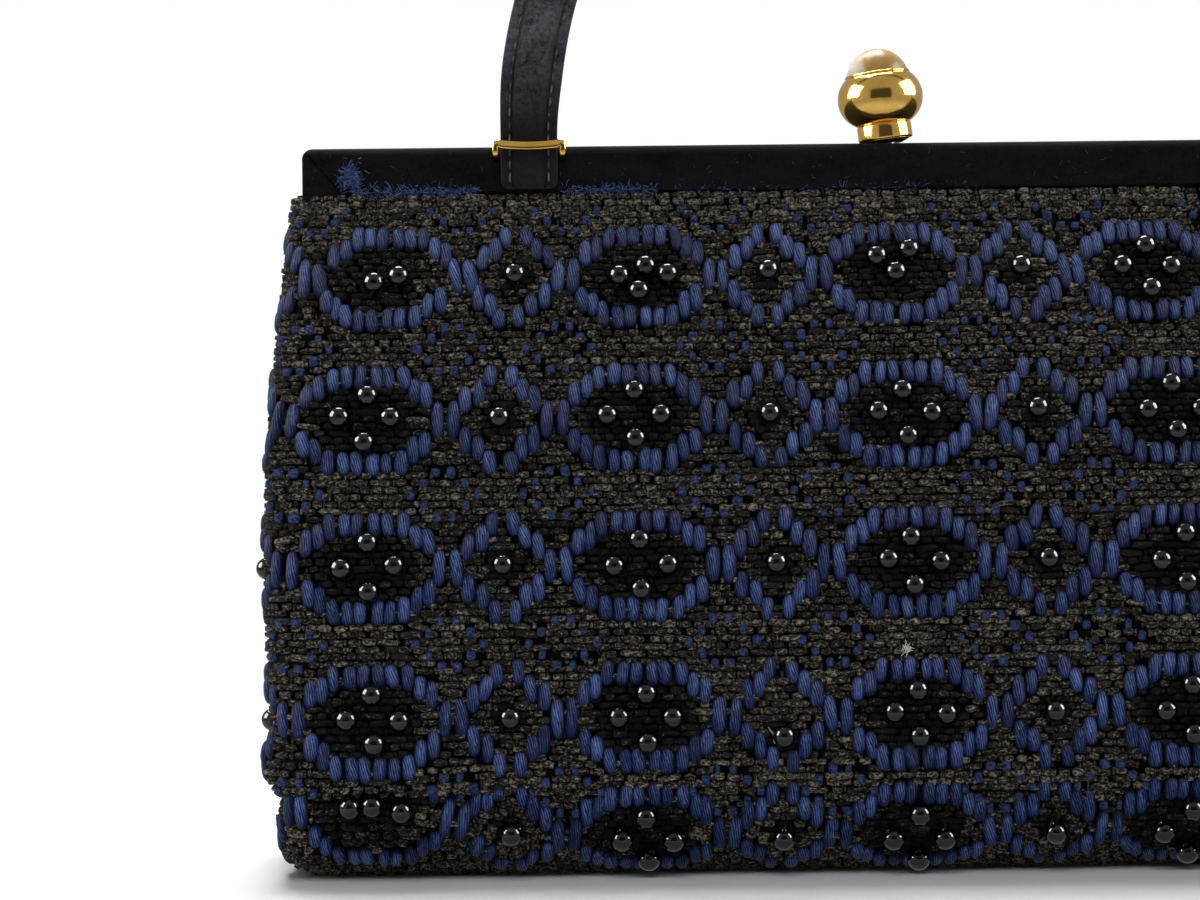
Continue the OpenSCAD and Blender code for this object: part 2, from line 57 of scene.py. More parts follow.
class Value:
    # a socket that takes part in Python sums by adding Math nodes
    def __init__(self, paint, socket):
        self.paint = paint
        self.socket = socket

    def sum(self, operation, *others):
        values = dict(enumerate((self,) + others))
        return self.paint.add("Math", {"operation": operation}, values)

    def __add__(self, other):
        return self.sum("ADD", other)

    def __sub__(self, other):
        return self.sum("SUBTRACT", other)

    def __mul__(self, other):
        return self.sum("MULTIPLY", other)

    __radd__ = __add__
    __rmul__ = __mul__

    def __rsub__(self, other):
        return self.sum("MULTIPLY", -1) + other

    def sine(self):
        return self.sum("SINE")

    def over(self, low, high):
        return self.paint.add("MapRange", {}, {"Value": self, "From Min": low, "From Max": high})


class Paint:
    # the nodes of one material, or of the world, added by type
    def __init__(self, name, owners=bpy.data.materials):
        self.owner = owners.new(name)
        self.owner.use_nodes = True
        self.tree = self.owner.node_tree
        self.tree.nodes.clear()

    def add(self, kind, settings, inputs, output=0):
        node = self.tree.nodes.new("ShaderNode" + kind)
        for key, value in settings.items():
            setattr(node, key, value)
        for key, value in inputs.items():
            if isinstance(value, Value):
                self.tree.links.new(value.socket, node.inputs[key])
            else:
                node.inputs[key].default_value = value
        return Value(self, node.outputs[output] if len(node.outputs) else None)

    def place(self):
        return self.add("TexCoord", {}, {}, 3)  # object coordinates

    def stored(self, name, output=2):
        # an attribute of the mesh: output 2 is a number, 1 a vector
        return self.add("Attribute", {"attribute_name": name}, {}, output)

    def scaled(self, vector, sizes):
        return self.add("VectorMath", {"operation": "MULTIPLY"}, {0: vector, 1: sizes})

    def noise(self, vector, scale, detail=3.0, roughness=0.55):
        inputs = {"Vector": vector, "Scale": scale, "Detail": detail, "Roughness": roughness}
        return self.add("TexNoise", {}, inputs)

    def part(self, vector, axis):
        return self.add("SeparateXYZ", {}, {0: vector}, axis)

    def mix(self, factor, first, second):
        colours = {6: first, 7: second}  # the node's colour sockets
        for key, value in colours.items():
            if not isinstance(value, Value):
                colours[key] = (*value, 1.0)
        return self.add("Mix", {"data_type": "RGBA"}, {0: factor, **colours}, 2)

    def bump(self, height, strength, depth):
        return self.add("Bump", {}, {"Height": height, "Strength": strength, "Distance": depth * mm})

    def finish(self, inputs):
        shader = self.add("BsdfPrincipled", {}, inputs)
        self.add("OutputMaterial", {}, {"Surface": shader})
        return self.owner


def linked(name, data):
    # a new object in the scene
    thing = bpy.data.objects.new(name, data)
    bpy.context.scene.collection.objects.link(thing)
    return thing


def makePiece(name, points, faces, material, attributes=None):
    mesh = bpy.data.meshes.new(name)
    mesh.from_pydata((np.asarray(points) * mm).tolist(), [], faces)
    mesh.polygons.foreach_set("use_smooth", np.ones(len(mesh.polygons), bool))
    for key, values in (attributes or {}).items():
        values = np.asarray(values, np.float32)
        kind, field = ("FLOAT", "value") if values.ndim == 1 else ("FLOAT_VECTOR", "vector")
        mesh.attributes.new(key, kind, "POINT").data.foreach_set(field, values.ravel())
    mesh.materials.append(material)
    mesh.update()
    return linked(name, mesh)


def unit(vectors):
    return vectors / np.linalg.norm(vectors, axis=-1, keepdims=True)


def smooth(t):
    t = np.clip(t, 0, 1)
    return t * t * (3 - 2 * t)


def hump(v, middle, span):
    return np.exp(-((v - middle) / span) ** 2)


def circle(count):
    return np.arange(count) * 2 * math.pi / count


def spun(radial, count):
    # both coordinates across the axis, for each radius of an outline in turn
    turn = circle(count)
    return [np.outer(radial, way).ravel() for way in (np.cos(turn), np.sin(turn))]


def raised(points, least=0.02):
    # nothing reaches below the floor
    points[..., 2] = np.maximum(points[..., 2], least)
    return points


def ringFaces(rings, sides):
    # walls between closed rings of points, then a cap at each end
    faces = []
    for r in range(rings - 1):
        for i in range(sides):
            j = (i + 1) % sides
            faces.append([r * sides + i, r * sides + j, (r + 1) * sides + j, (r + 1) * sides + i])
    last = (rings - 1) * sides
    return faces + [list(range(sides))[::-1], list(range(last, last + sides))]


def gridFaces(rows, columns):
    starts = [r * columns + c for r in range(rows - 1) for c in range(columns - 1)]
    return [[k, k + 1, k + columns + 1, k + columns] for k in starts]


def flipped(faces):
    # the same faces seen from the other side, each from its first corner on
    return [[face[0], *face[:0:-1]] for face in faces]


def copies(shape, faces, centres, axes, stretch):
    # one small shape set at every centre along its own axes
    count, size = len(centres), len(shape)
    local = shape[None] * stretch[:, None]
    points = centres[:, None] + np.einsum("nik,nkj->nij", local, axes)
    shift = (np.arange(count) * size)[:, None]
    lists = []
    for face in faces:
        lists += (shift + np.array(face)[None]).tolist()
    return points.reshape(-1, 3), lists


def tubes(paths, radius, sides, taper=0.0):
    # round threads along many paths of equal length
    paths = np.asarray(paths, float)
    count, rings = paths.shape[:2]
    ahead = unit(np.gradient(paths, axis=1))
    lead = np.where(np.abs(ahead[..., 2:]) > 0.9, [[[1.0, 0, 0]]], [[[0, 0, 1.0]]])
    first = unit(np.cross(ahead, lead))
    second = np.cross(ahead, first)
    turn = circle(sides)
    thin = radius * (1 - taper * np.linspace(0, 1, rings))[None, :, None, None]
    spread = first[:, :, None] * np.cos(turn)[:, None] + second[:, :, None] * np.sin(turn)[:, None]
    points = paths[:, :, None] + thin * spread
    faces = ringFaces(rings, sides)
    shift = np.arange(count) * rings * sides
    lists = [[int(s) + k for k in face] for s in shift for face in faces]
    return points.reshape(-1, 3), lists


# the cloth form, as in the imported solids
clothLow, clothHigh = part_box("front_cloth")
barLow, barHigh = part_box("front_frame_cover")
form = {
    "endSwell": 4.0, "bellyHeight": 30.0, "bellySwell": 23.5, "edgeRadius": 22.0, "cornerRadius": 7.0,
    "baseTuck": 1.5, "endEdge": 8.0,
}
topZ = clothHigh.z / mm
halfDepth = -clothLow.y / mm
mouthWidth = clothHigh.x / mm - form["endSwell"]
riseZ = topZ - form["bellyHeight"]
wallSweep = 2 * math.atan(form["bellySwell"] / riseZ)
wallRadius = riseZ / math.sin(wallSweep)
wallLength = wallRadius * wallSweep
edgeStart = wallLength + form["bellyHeight"] - form["edgeRadius"]
dropLength = edgeStart + form["edgeRadius"] * math.pi / 2


def profile(v):
    # depth and height of the cloth at v down from the frame
    r, belly = form["edgeRadius"], form["bellyHeight"]
    a = wallSweep - v / wallRadius
    b = np.clip((v - edgeStart) / r, 0, math.pi / 2)
    depth = np.where(v < wallLength, halfDepth - wallRadius + wallRadius * np.cos(a), halfDepth)
    height = np.where(v < wallLength, belly + wallRadius * np.sin(a), belly + wallLength - v)
    depth = np.where(v < edgeStart, depth, halfDepth - r + r * np.cos(b))
    height = np.where(v < edgeStart, height, r - r * np.sin(b))
    return depth, height


def halfWidth(z):
    middle = topZ / 2
    r = form["endEdge"]
    low = np.clip(z, 0, r)
    edge = r - np.sqrt(r * r - (r - low) ** 2)
    upper = form["endSwell"] * (1 - ((z - middle) / (topZ - middle)) ** 2)
    lower = form["endSwell"] - form["baseTuck"] * ((middle - z) / middle) ** 2 - edge
    return mouthWidth + np.where(z > middle, upper, lower)


def seamReach(v):
    # distance along the cloth from the middle to the side seam
    depth, z = profile(v)
    r = form["cornerRadius"]
    return halfWidth(z) - 2 * r + r * math.pi / 2 + depth


def smoothCloth(s, v):
    depth, z = profile(v)
    r = form["cornerRadius"]
    wide = halfWidth(z)
    flat = wide - r
    a = np.abs(s)
    b = np.clip((a - flat) / r, 0, math.pi / 2)
    beyond = np.maximum(a - flat - r * math.pi / 2, 0)
    x = np.where(a < flat, a, flat + r * np.sin(b))
    y = np.where(a < flat, -depth, r * (1 - np.cos(b)) - depth + beyond)
    return np.stack([np.where(s < 0, -x, x), y, z], -1)


# swells and dents of a used bag, and the fold that hangs over the bottom row at the left end
wear = {
    "wave": 0.6, "topRoom": 30, "baseRoom": 25, "slackFrom": 70, "slackFade": 40, "seamFade": 20,
    "long": (29, 41), "cross": (15.5, 24), "crossShare": 0.8, "foldShare": 0.75, "foldTop": 120.5,
    "foldOut": 1.9, "outSpan": 6, "foldLine": 129.5, "foldIn": 3.0, "inSpan": 5,
    "sag": 1.4, "sagLine": 123.5, "lift": 7.0, "liftFrom": 124.5, "liftRise": 5, "liftEnd": 138,
    "liftFade": 17,
}


def slackEnd(s):
    return smooth((-s - wear["slackFrom"]) / wear["slackFade"])


def slack(s, v):
    hang = np.clip(v / wear["topRoom"], 0, 1) * np.clip((dropLength - v) / wear["baseRoom"], 0, 1)
    swell = np.sin(s / wear["long"][0] + 0.7) * np.sin(v / wear["long"][1])
    swell = swell + wear["crossShare"] * np.sin(s / wear["cross"][0] - v / wear["cross"][1] + 1.1)
    amount = 1 - wear["foldShare"] + wear["foldShare"] * slackEnd(s)
    out = wear["foldOut"] * hump(v, wear["foldTop"], wear["outSpan"])
    pinch = wear["foldIn"] * hump(v, wear["foldLine"], wear["inSpan"])
    return wear["wave"] * hang * swell + amount * (out - pinch)


def sag(s, v):
    # how far the cloth slips down over the fold, and up behind it
    left = slackEnd(s) * smooth((seamReach(v) + s) / wear["seamFade"])  # none at the side seam
    over = wear["sag"] * hump(v, wear["sagLine"], wear["inSpan"])
    rise = smooth((v - wear["liftFrom"]) / wear["liftRise"])
    under = wear["lift"] * rise * (1 - smooth((v - wear["liftEnd"]) / wear["liftFade"]))
    return left * (over - under)


def axesOf(place, s, v, step=0.3):
    # directions along, up and out of a surface
    along = place(s + step, v) - place(s - step, v)
    up = place(s, v - step) - place(s, v + step)
    out = unit(np.cross(along, up))
    along = unit(along)
    return along, np.cross(out, along), out


def wornCloth(s, v):
    slid = v + sag(s, v)
    out = axesOf(smoothCloth, s, slid)[2]
    return smoothCloth(s, slid) + slack(s, v)[..., None] * out


def onCloth(s, v, lift):
    # points lifted off the worn cloth, and its axes there
    along, up, out = axesOf(wornCloth, s, v)
    return wornCloth(s, v) + np.asarray(lift)[..., None] * out, np.stack([along, up, out], 1)


mirrorY = np.array([1.0, -1.0, 1.0])
halves = {
    "front": {"sign": 1, "body": "front_frame", "end": (0, -0.00863, topZ * mm + 0.00578)},
    "rear": {"sign": -1, "body": "rear_frame", "end": (0, 0.00863, topZ * mm + 0.00578)},
}


def clothPiece(name, half, points, faces, material, attributes=None, stands=()):
    # a piece of the bag's front, or its mirror image at the rear
    points = np.asarray(points)
    if half["sign"] < 0:
        points = points * mirrorY
        faces = [face[::-1] for face in faces]
    piece = makePiece(name, points, faces, material, attributes)
    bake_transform(piece)
    if stands:
        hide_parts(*stands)


# materials
# gap is the colour of the painted shade at the feet of the picks
groundLook = {
    "gap": (0.0006, 0.0006, 0.0007), "deep": (0.0074, 0.0071, 0.0067), "brown": (0.049, 0.0425, 0.034),
    "pale": (0.4, 0.352, 0.28), "shade": (0.005, 0.009, 0.036), "blue": (0.056, 0.092, 0.235),
    "fibre": 1700.0,
}


def groundPaint():
    p = Paint("woven_ground")
    place = p.place()
    tint = p.stored("tint")
    hue = p.stored("hue")
    crown = p.stored("crown")
    fibre = p.noise(p.scaled(place, (0.8, 1.0, 1.2)), groundLook["fibre"], 3.0, 0.65)
    patch = p.noise(place, 45.0, 2.0)
    tone = tint * 0.5 + patch * 0.5 + fibre * 2.4 - 1.4
    wool = p.mix(tone.over(0.0, 0.85), groundLook["deep"], groundLook["brown"])
    # pale flecks: partly pale fibres in the wool, partly painted highlights on the fibres
    wool = p.mix((fibre + tint * 0.18).over(0.61, 0.83) * 0.9, wool, groundLook["pale"])
    silk = p.mix(fibre.over(0.35, 0.65), groundLook["shade"], groundLook["blue"])
    # painted shade: each pick darkens towards its foot to the gap colour, the shade between the picks
    base = p.mix(crown.over(0.02, 0.5), groundLook["gap"], p.mix(hue, wool, silk))
    return p.finish({
        "Base Color": base, "Roughness": fibre.over(0.0, 1.0) * 0.15 + 0.8, "Specular IOR Level": 0.12,
        "Normal": p.bump(fibre, 1.0, 0.5),
    })


# the gap colour is painted shade at the floats' edges, and the brightest colour a painted highlight on their
# crowns
yarnLook = {
    "gap": (0.0005, 0.0006, 0.0016), "shade": (0.0013, 0.003, 0.0165), "blue": (0.0072, 0.018, 0.088),
    "paintedGleam": (0.19, 0.305, 0.74), "strand": 0.5, "split": 2.3, "slant": 0.2,
}


def yarnPaint():
    p = Paint("blue_yarn")
    yarn = p.stored("yarn", 1)
    across, along, chance = [p.part(yarn, axis) for axis in range(3)]
    crown = p.stored("crown")
    ruffle = p.noise(p.scaled(yarn, (1.6, 0.45, 40.0)), 1.0, 3.0)
    twist = across + along * yarnLook["slant"] + ruffle * 0.7 + chance * 3.0
    turns = 2 * math.pi / yarnLook["strand"]
    strand = (twist * turns).sine() * 0.5 + 0.5
    split = (twist * (turns * yarnLook["split"])).sine() * 0.5 + 0.5
    depth = strand * 0.62 + split * 0.38
    tone = depth * 0.5 + chance * 0.22 + ruffle * 0.6 - 0.2
    blue = p.mix(tone.over(0.0, 0.6), yarnLook["shade"], yarnLook["blue"])
    # painted highlight on each float's crown, stronger towards its upper end as if lit from above
    sheen = tone.over(0.4, 0.8) * crown.over(0.4, 1.0) * (along * 0.15 + 0.75)
    blue = p.mix(sheen, blue, yarnLook["paintedGleam"])
    # painted shade: each float darkens to the gap colour towards its edges
    return p.finish({
        "Base Color": p.mix(crown.over(0.1, 0.75), yarnLook["gap"], blue), "Roughness": 0.6 - depth * 0.15,
        "Specular IOR Level": 0.14, "Normal": p.bump(depth, 0.9, 0.2),
    })


glassLook = {
    "black": (0.0018, 0.0018, 0.002), "dust": (0.01, 0.0095, 0.009), "smear": 900.0, "speck": 4200.0,
    "index": 1.58,
}


def glassPaint():
    p = Paint("black_glass")
    smear = p.noise(p.place(), glassLook["smear"], 3.0)
    dust = p.noise(p.place(), glassLook["speck"], 2.0)
    return p.finish({
        "Base Color": p.mix(dust.over(0.62, 0.8), glassLook["black"], glassLook["dust"]),
        "Roughness": smear.over(0.35, 0.8) * 0.07 + 0.03, "IOR": glassLook["index"],
        "Normal": p.bump(smear, 0.04, 0.05),
    })


# of the two ranges of heights, the first is where the nap is painted paler, painted light on the strap's
# upper part, and the second where that painted light fades by half again
suedeLook = {
    "dark": (0.0017, 0.0018, 0.0021), "nap": (0.0092, 0.0093, 0.0106), "dust": (0.027, 0.027, 0.029),
    "grain": 1600.0, "paintedLightRise": (0.0, 0.01), "paintedLightFade": (1.0, 2.0), "sheen": 0.02,
}
strapLook = {
    "dark": (0.0068, 0.0066, 0.0082), "nap": (0.175, 0.166, 0.194), "dust": (0.34, 0.33, 0.35),
    "grain": 1000.0, "paintedLightRise": (0.157, 0.1885), "paintedLightFade": (0.19, 0.215), "sheen": 0.05,
}


def suedePaint(name, look):
    p = Paint(name)
    place = p.place()
    nap = p.noise(place, look["grain"], 4.0, 0.75)
    rub = p.noise(p.scaled(place, (0.45, 1.0, 1.0)), 160.0, 4.0)
    dust = p.noise(p.scaled(place, (0.5, 1.0, 1.0)), 1500.0, 3.0)
    base = p.mix((nap * 1.1 + rub * 0.8).over(0.72, 1.18), look["dark"], look["nap"])
    base = p.mix((dust * 0.7 + rub * 0.3).over(0.6, 0.78) * 0.6, base, look["dust"])
    z = p.part(place, 2)
    # painted light: low down the suede stays dark, higher up it is painted paler as if lit from above, then
    # fades by half near the top; the frame's heights leave it unchanged
    paintedLightShare = z.over(*look["paintedLightRise"]) * (1 - z.over(*look["paintedLightFade"]) * 0.5)
    base = p.mix(paintedLightShare * 0.93 + 0.07, look["dark"], base)
    return p.finish({
        "Base Color": base, "Roughness": nap.over(0.0, 1.0) * 0.12 + 0.86, "Sheen Weight": look["sheen"],
        "Sheen Roughness": 0.55, "Specular IOR Level": 0.06,
        "Normal": p.bump(nap * 0.6 + rub * 0.8, 0.55, 0.35),
    })


# dark and light of each thread
threadLooks = {
    "stitch_thread": ((0.012, 0.012, 0.014), (0.21, 0.2, 0.225)),
    "bead_thread": ((0.001, 0.001, 0.0012), (0.006, 0.006, 0.007)),
    "frayed_yarn": ((0.002, 0.006, 0.03), (0.19, 0.33, 0.78)),
    "lint": ((0.06, 0.06, 0.06), (0.32, 0.32, 0.3)),
    "white_fluff": ((0.45, 0.45, 0.44), (0.85, 0.85, 0.83)),
}


def threadPaint(name, scale=2600.0):
    p = Paint(name)
    fibre = p.noise(p.place(), scale, 4.0)
    tint = p.stored("tint")
    base = p.mix((fibre * 0.7 + tint * 0.6).over(0.25, 1.0), *threadLooks[name])
    return p.finish({
        "Base Color": base, "Roughness": fibre * 0.2 + 0.65, "Specular IOR Level": 0.2,
        "Normal": p.bump(fibre, 0.6, 0.08),
    })


giltLook = {"bright": (0.92, 0.6, 0.16), "worn": (0.8, 0.44, 0.085), "base": (0.42, 0.3, 0.14)}


def giltPaint():
    p = Paint("gilt")
    place = p.place()
    smear = p.noise(place, 260.0, 3.0)
    scratch = p.noise(p.scaled(place, (0.3, 1.0, 3.5)), 2400.0, 3.0, 0.7)
    pit = p.noise(place, 1900.0, 2.0)
    base = p.mix(smear.over(0.35, 0.75), giltLook["bright"], giltLook["worn"])
    base = p.mix(pit.over(0.7, 0.82) * 0.7, base, giltLook["base"])
    return p.finish({
        "Base Color": base, "Roughness": smear.over(0.3, 0.8) * 0.06 + scratch.over(0.5, 0.9) * 0.06 + 0.1,
        "Metallic": 1.0, "Normal": p.bump(scratch * 0.4 + pit * 0.3, 0.05, 0.05),
    })


# the crown heights are where the top of the pearl takes its painted shade
pearlLook = {
    "cream": (0.58, 0.41, 0.15), "amber": (0.36, 0.185, 0.036), "roseAndHighlight": (0.9, 0.8, 0.72),
    "paintedTopShade": (0.3, 0.165, 0.042), "middle": -2.4, "reach": 6.6, "crown": (0.1695, 0.1755),
}


def pearlPaint():
    p = Paint("pearl")
    place = p.place()
    sway = p.noise(place, 240.0, 3.0)
    side = (p.part(place, 0) * (1 / mm) - pearlLook["middle"]) * (1 / pearlLook["reach"]) + sway * 0.5 - 0.25
    layers = p.noise(p.scaled(place, (1.0, 1.0, 0.35)), 420.0, 3.0)
    band = (layers * 9.0 + side * 3.0).sine() * 0.5 + 0.5
    heart = 1 - (side * side).over(0.0, 0.55)
    # the amber heart and its bands: partly the pearl's colour, partly a painted reflection of the gilt
    base = p.mix(heart * (band * 0.35 + 0.65), pearlLook["cream"], pearlLook["amber"])
    # the left side is mixed towards pinkish white: partly the pearl's pink tint, partly a painted highlight
    base = p.mix((0 - side).over(0.5, 0.85), base, pearlLook["roseAndHighlight"])
    # painted shade: the top of the pearl is darkened towards brown between the crown heights
    base = p.mix(p.part(place, 2).over(*pearlLook["crown"]) * 0.8, base, pearlLook["paintedTopShade"])
    return p.finish({
        "Base Color": base, "Roughness": band * 0.1 + 0.3, "Coat Weight": 0.1, "Coat Roughness": 0.2,
        "Specular IOR Level": 0.2, "Normal": p.bump(sway, 0.05, 0.2),
    })


steelLook = {"bare": (0.42, 0.41, 0.4), "stain": (0.2, 0.17, 0.14)}


def steelPaint():
    p = Paint("frame_steel")
    brushed = p.noise(p.scaled(p.place(), (0.08, 1.0, 1.0)), 3000.0, 3.0)
    stain = p.noise(p.place(), 130.0, 4.0)
    base = p.mix(stain.over(0.45, 0.75), steelLook["bare"], steelLook["stain"])
    return p.finish({
        "Base Color": base, "Metallic": 1.0, "Roughness": brushed * 0.25 + 0.25,
        "Normal": p.bump(brushed, 0.15, 0.05),
    })


liningLook = {"dark": (0.006, 0.0065, 0.01), "light": (0.03, 0.032, 0.045), "rib": 5200.0}


def liningPaint():
    p = Paint("lining_cloth")
    place = p.place()
    waves = [(p.part(place, axis) * liningLook["rib"]).sine() for axis in (0, 2)]
    rib = waves[0] * waves[1] * 0.5 + 0.5
    crease = p.noise(p.scaled(place, (1.0, 1.0, 0.4)), 45.0, 4.0)
    # the colour follows the bump height: painted shade in the hollows of the ribs and creases
    base = p.mix(crease * 0.6 + rib * 0.3, liningLook["dark"], liningLook["light"])
    return p.finish({
        "Base Color": base, "Roughness": rib * 0.12 + 0.5, "Sheen Weight": 0.2,
        "Normal": p.bump(rib * 0.3 + crease, 0.4, 0.6),
    })


cardLook = {"dark": (0.22, 0.15, 0.09), "light": (0.36, 0.27, 0.17)}


def cardPaint():
    p = Paint("base_card")
    pulp = p.noise(p.place(), 900.0, 5.0)
    base = p.mix(pulp.over(0.3, 0.75), cardLook["dark"], cardLook["light"])
    return p.finish({"Base Color": base, "Roughness": pulp * 0.15 + 0.8, "Normal": p.bump(pulp, 0.3, 0.2)})


paints = {
    "ground": groundPaint(), "yarn": yarnPaint(), "glass": glassPaint(),
    "suede": suedePaint("black_suede", suedeLook), "strap": suedePaint("strap_suede", strapLook),
    "stitch": threadPaint("stitch_thread"), "cord": threadPaint("bead_thread"),
    "fuzz": threadPaint("frayed_yarn"), "lint": threadPaint("lint"), "fluff": threadPaint("white_fluff"),
    "gilt": giltPaint(), "pearl": pearlPaint(), "steel": steelPaint(), "lining": liningPaint(),
    "card": cardPaint(),
}
print("materials made")

# the pattern: [along, far end, near end] of each float from its motif's middle
pattern = {
    "pitch": 56.0, "firstRow": 18.0, "rowPitch": 31.0, "rows": 5, "crease": 5.5, "width": 2.55, "height": 1.5,
    "oval": [(1.7, 11.6, 6.6), (4.3, 11.6, 6.6), (7.5, 11.5, 6.0), (10.0, 9.3, 3.6), (12.4, 8.0, 2.2)],
    "diamond": [(2.2, 11.6, 6.6), (4.5, 8.9, 3.3), (7.2, 7.4, 1.2)],
    "links": (15.0, 18.2), "linkReach": 4.1, "baseMargin": 9.0, "seamRoom": 0.6, "gather": 0.058,
    "gatherLine": 10, "gatherSpan": 24, "shift": -0.8, "slip": 2.4, "slipSpan": 93, "hides": 0.42,
    "lastMotif": 3,
}
rowPlaces = [pattern["firstRow"] + pattern["rowPitch"] * k for k in range(pattern["rows"])]
rowPlaces[-1] -= pattern["crease"]
motifs = range(-math.ceil((mouthWidth + halfDepth) / pattern["pitch"]), pattern["lastMotif"] + 1)


def fits(s, v, width, length):
    # whether a shape of this size stays off the side seam and the base
    ends = np.array([v - length / 2, v, v + length / 2])
    room = seamReach(ends).min() - pattern["seamRoom"]
    return abs(s) + width / 2 < room and v + length / 2 < dropLength - pattern["baseMargin"]


def drift(s, v):
    # the rows draw in where the cloth is gathered into the frame, and slip to the right lower down
    gathered = s * (1 - pattern["gather"] * hump(v, pattern["gatherLine"], pattern["gatherSpan"]))
    slip = pattern["slip"] * np.clip((v - pattern["firstRow"]) / pattern["slipSpan"], 0, 1)
    return gathered + pattern["shift"] + slip


def allFloats():
    # [along, down, length, slant] of each float
    found = []
    for v in rowPlaces:
        for i in motifs:
            for start, steps in ((0, "oval"), (pattern["pitch"] / 2, "diamond")):
                s = i * pattern["pitch"] + start
                for along, far, near in pattern[steps]:
                    middle = (far + near) / 2
                    for side in (-1, 1):
                        for way in (-1, 1):
                            found.append((s + side * along, v + way * middle, far - near, side * way))
            for along in pattern["links"]:
                for side in (-1, 1):
                    found.append((i * pattern["pitch"] + side * along, v, 2 * pattern["linkReach"], 0))
    kept = np.array([f for f in found if fits(f[0], f[1], pattern["width"], f[2])])
    kept[:, 0] = drift(kept[:, 0], kept[:, 1])
    return kept


floatPlaces = allFloats()

# dark backing cloth under the weave, painted all over in the painted shade colour of the gaps between the
# picks
backing = {"columns": 132, "rows": 66, "start": -2.2, "under": 0.45}


def shell(inset, start, end, columns, rows):
    # the cloth's form from start to end, closed by a flat base
    v = np.linspace(start, end, rows + 1)[:, None]
    s = np.linspace(-1, 1, columns + 1)[None] * seamReach(v)
    v = np.broadcast_to(v, s.shape)
    out = axesOf(wornCloth, s, v)[2]
    points = raised(wornCloth(s, v) - inset * out).reshape(-1, 3)
    base = list(range(len(points)))[-columns - 1:]
    return points, flipped(gridFaces(rows + 1, columns + 1)) + [base[::-1]]


def makeBacking(name, half):
    points, faces = shell(backing["under"], backing["start"], dropLength, backing["columns"], backing["rows"])
    # every attribute zero, so the ground paint gives the backing its painted shade colour
    paintedShadeOnly = {key: np.zeros(len(points)) for key in ("tint", "hue", "crown")}
    stands = (name + "_cloth",)
    clothPiece(name + "_backing", half, points, faces, paints["ground"], paintedShadeOnly, stands)


# pillow-like picks of the ground weave, the warps that show between them, and blue specks in steps
weave = {
    "pickPitch": 1.5, "warpPitch": 2.95, "width": 1.76, "height": 0.95, "top": -1.6, "merge": 0.12,
    "warpShare": 0.8, "warpWidth": 1.05, "warpLength": 2.0, "warpLow": 0.85, "gap": (0.04, 0.22),
    "seamRoom": 0.4, "shortest": 0.9, "sink": 0.25, "skew": 0.09, "rowStart": 0.06, "slide": 0.1,
    "wander": 0.1, "tint": (0.5, 0.15), "tintRange": (0.0, 1.1), "highVaries": 0.2, "highRange": (0.4, 1.5),
    "wideVaries": 0.1, "warpWideVaries": 0.15, "warpLongVaries": 0.12,
    "rowShade": 0.09, "topPaler": 0.2, "topFade": 16, "bandPaler": 0.06, "bandFrom": 11,
    "ovalDarker": 0.5, "ovalHalf": (11, 7), "pit": 3.4, "beadShadowDarker": 0.75, "pitLow": 0.55,
    "fade": ((0, 40, 64, 90, 115, 140), (0, 0, -0.12, 0, 0.06, 0.12)),
    "speckSize": (1.0, 1.3, 1.25), "speckRoom": 1.0, "speckNeeds": (1.7, 2.3), "speckTop": 0.5,
    "speckWander": 0.15, "speckVaries": 0.13,
    "specks": [
        (7.3, -2.35), (15.9, -2.35), (4.6, 0), (18.6, 0), (7.3, 2.35), (15.9, 2.35), (10.2, 4.7), (13.4, 4.7),
        (10.2, -4.7), (13.4, -4.7),
    ],
}
pickShape = np.array(
    [(1, 0, -0.3), (0.84, 0.78, -0.3), (0, 1, -0.3), (-0.84, 0.78, -0.3), (-1, 0, -0.3), (-0.84, -0.78, -0.3),
     (0, -1, -0.3), (0.84, -0.78, -0.3), (0.6, 0.42, 1), (-0.6, 0.42, 1), (-0.6, -0.42, 1), (0.6, -0.42, 1)]
)
pickFaces = [
    (8, 9, 10, 11), (0, 1, 8), (1, 2, 8), (2, 3, 9), (3, 4, 9), (4, 5, 10), (5, 6, 10), (6, 7, 11),
    (7, 0, 11), (2, 9, 8), (4, 10, 9), (6, 11, 10), (0, 8, 11),
]
warpShape = np.array(
    [(0, 1, -0.3), (-0.9, 0.5, -0.3), (-0.9, -0.5, -0.3), (0, -1, -0.3), (0.9, -0.5, -0.3), (0.9, 0.5, -0.3),
     (0, 0, 1)]
)
warpFaces = [(0, 1, 6), (1, 2, 6), (2, 3, 6), (3, 4, 6), (4, 5, 6), (5, 0, 6)]


def laidPicks(dice):
    # [along, down, length, shade of the row] of the picks, and of the warps in the gaps between them
    picks, warps = [], []
    step = weave["warpPitch"]
    for k in range(int((dropLength - weave["top"]) / weave["pickPitch"])):
        v = weave["top"] + (k + 0.5) * weave["pickPitch"]
        reach = float(seamReach(np.array(v))) - weave["seamRoom"]
        shade = dice.normal(0, weave["rowShade"])
        s = -reach + step * (0.5 * (k % 2) + dice.normal(0, weave["rowStart"]))
        while s < reach - step:
            cells = 2 if dice.random() < weave["merge"] else 1
            length = step * (cells - dice.uniform(*weave["gap"]))
            picks.append((s + step * cells / 2 + dice.normal(0, weave["slide"]), v, length, shade))
            if dice.random() < weave["warpShare"]:
                long = weave["warpLength"] * dice.normal(1, weave["warpLongVaries"])
                warps.append((s, v, long, shade))
            s += step * cells
        if reach - s > weave["shortest"]:
            picks.append(((s + reach) / 2, v, reach - s, shade))  # the short one left at the side seam
    return np.array(picks), np.array(warps)


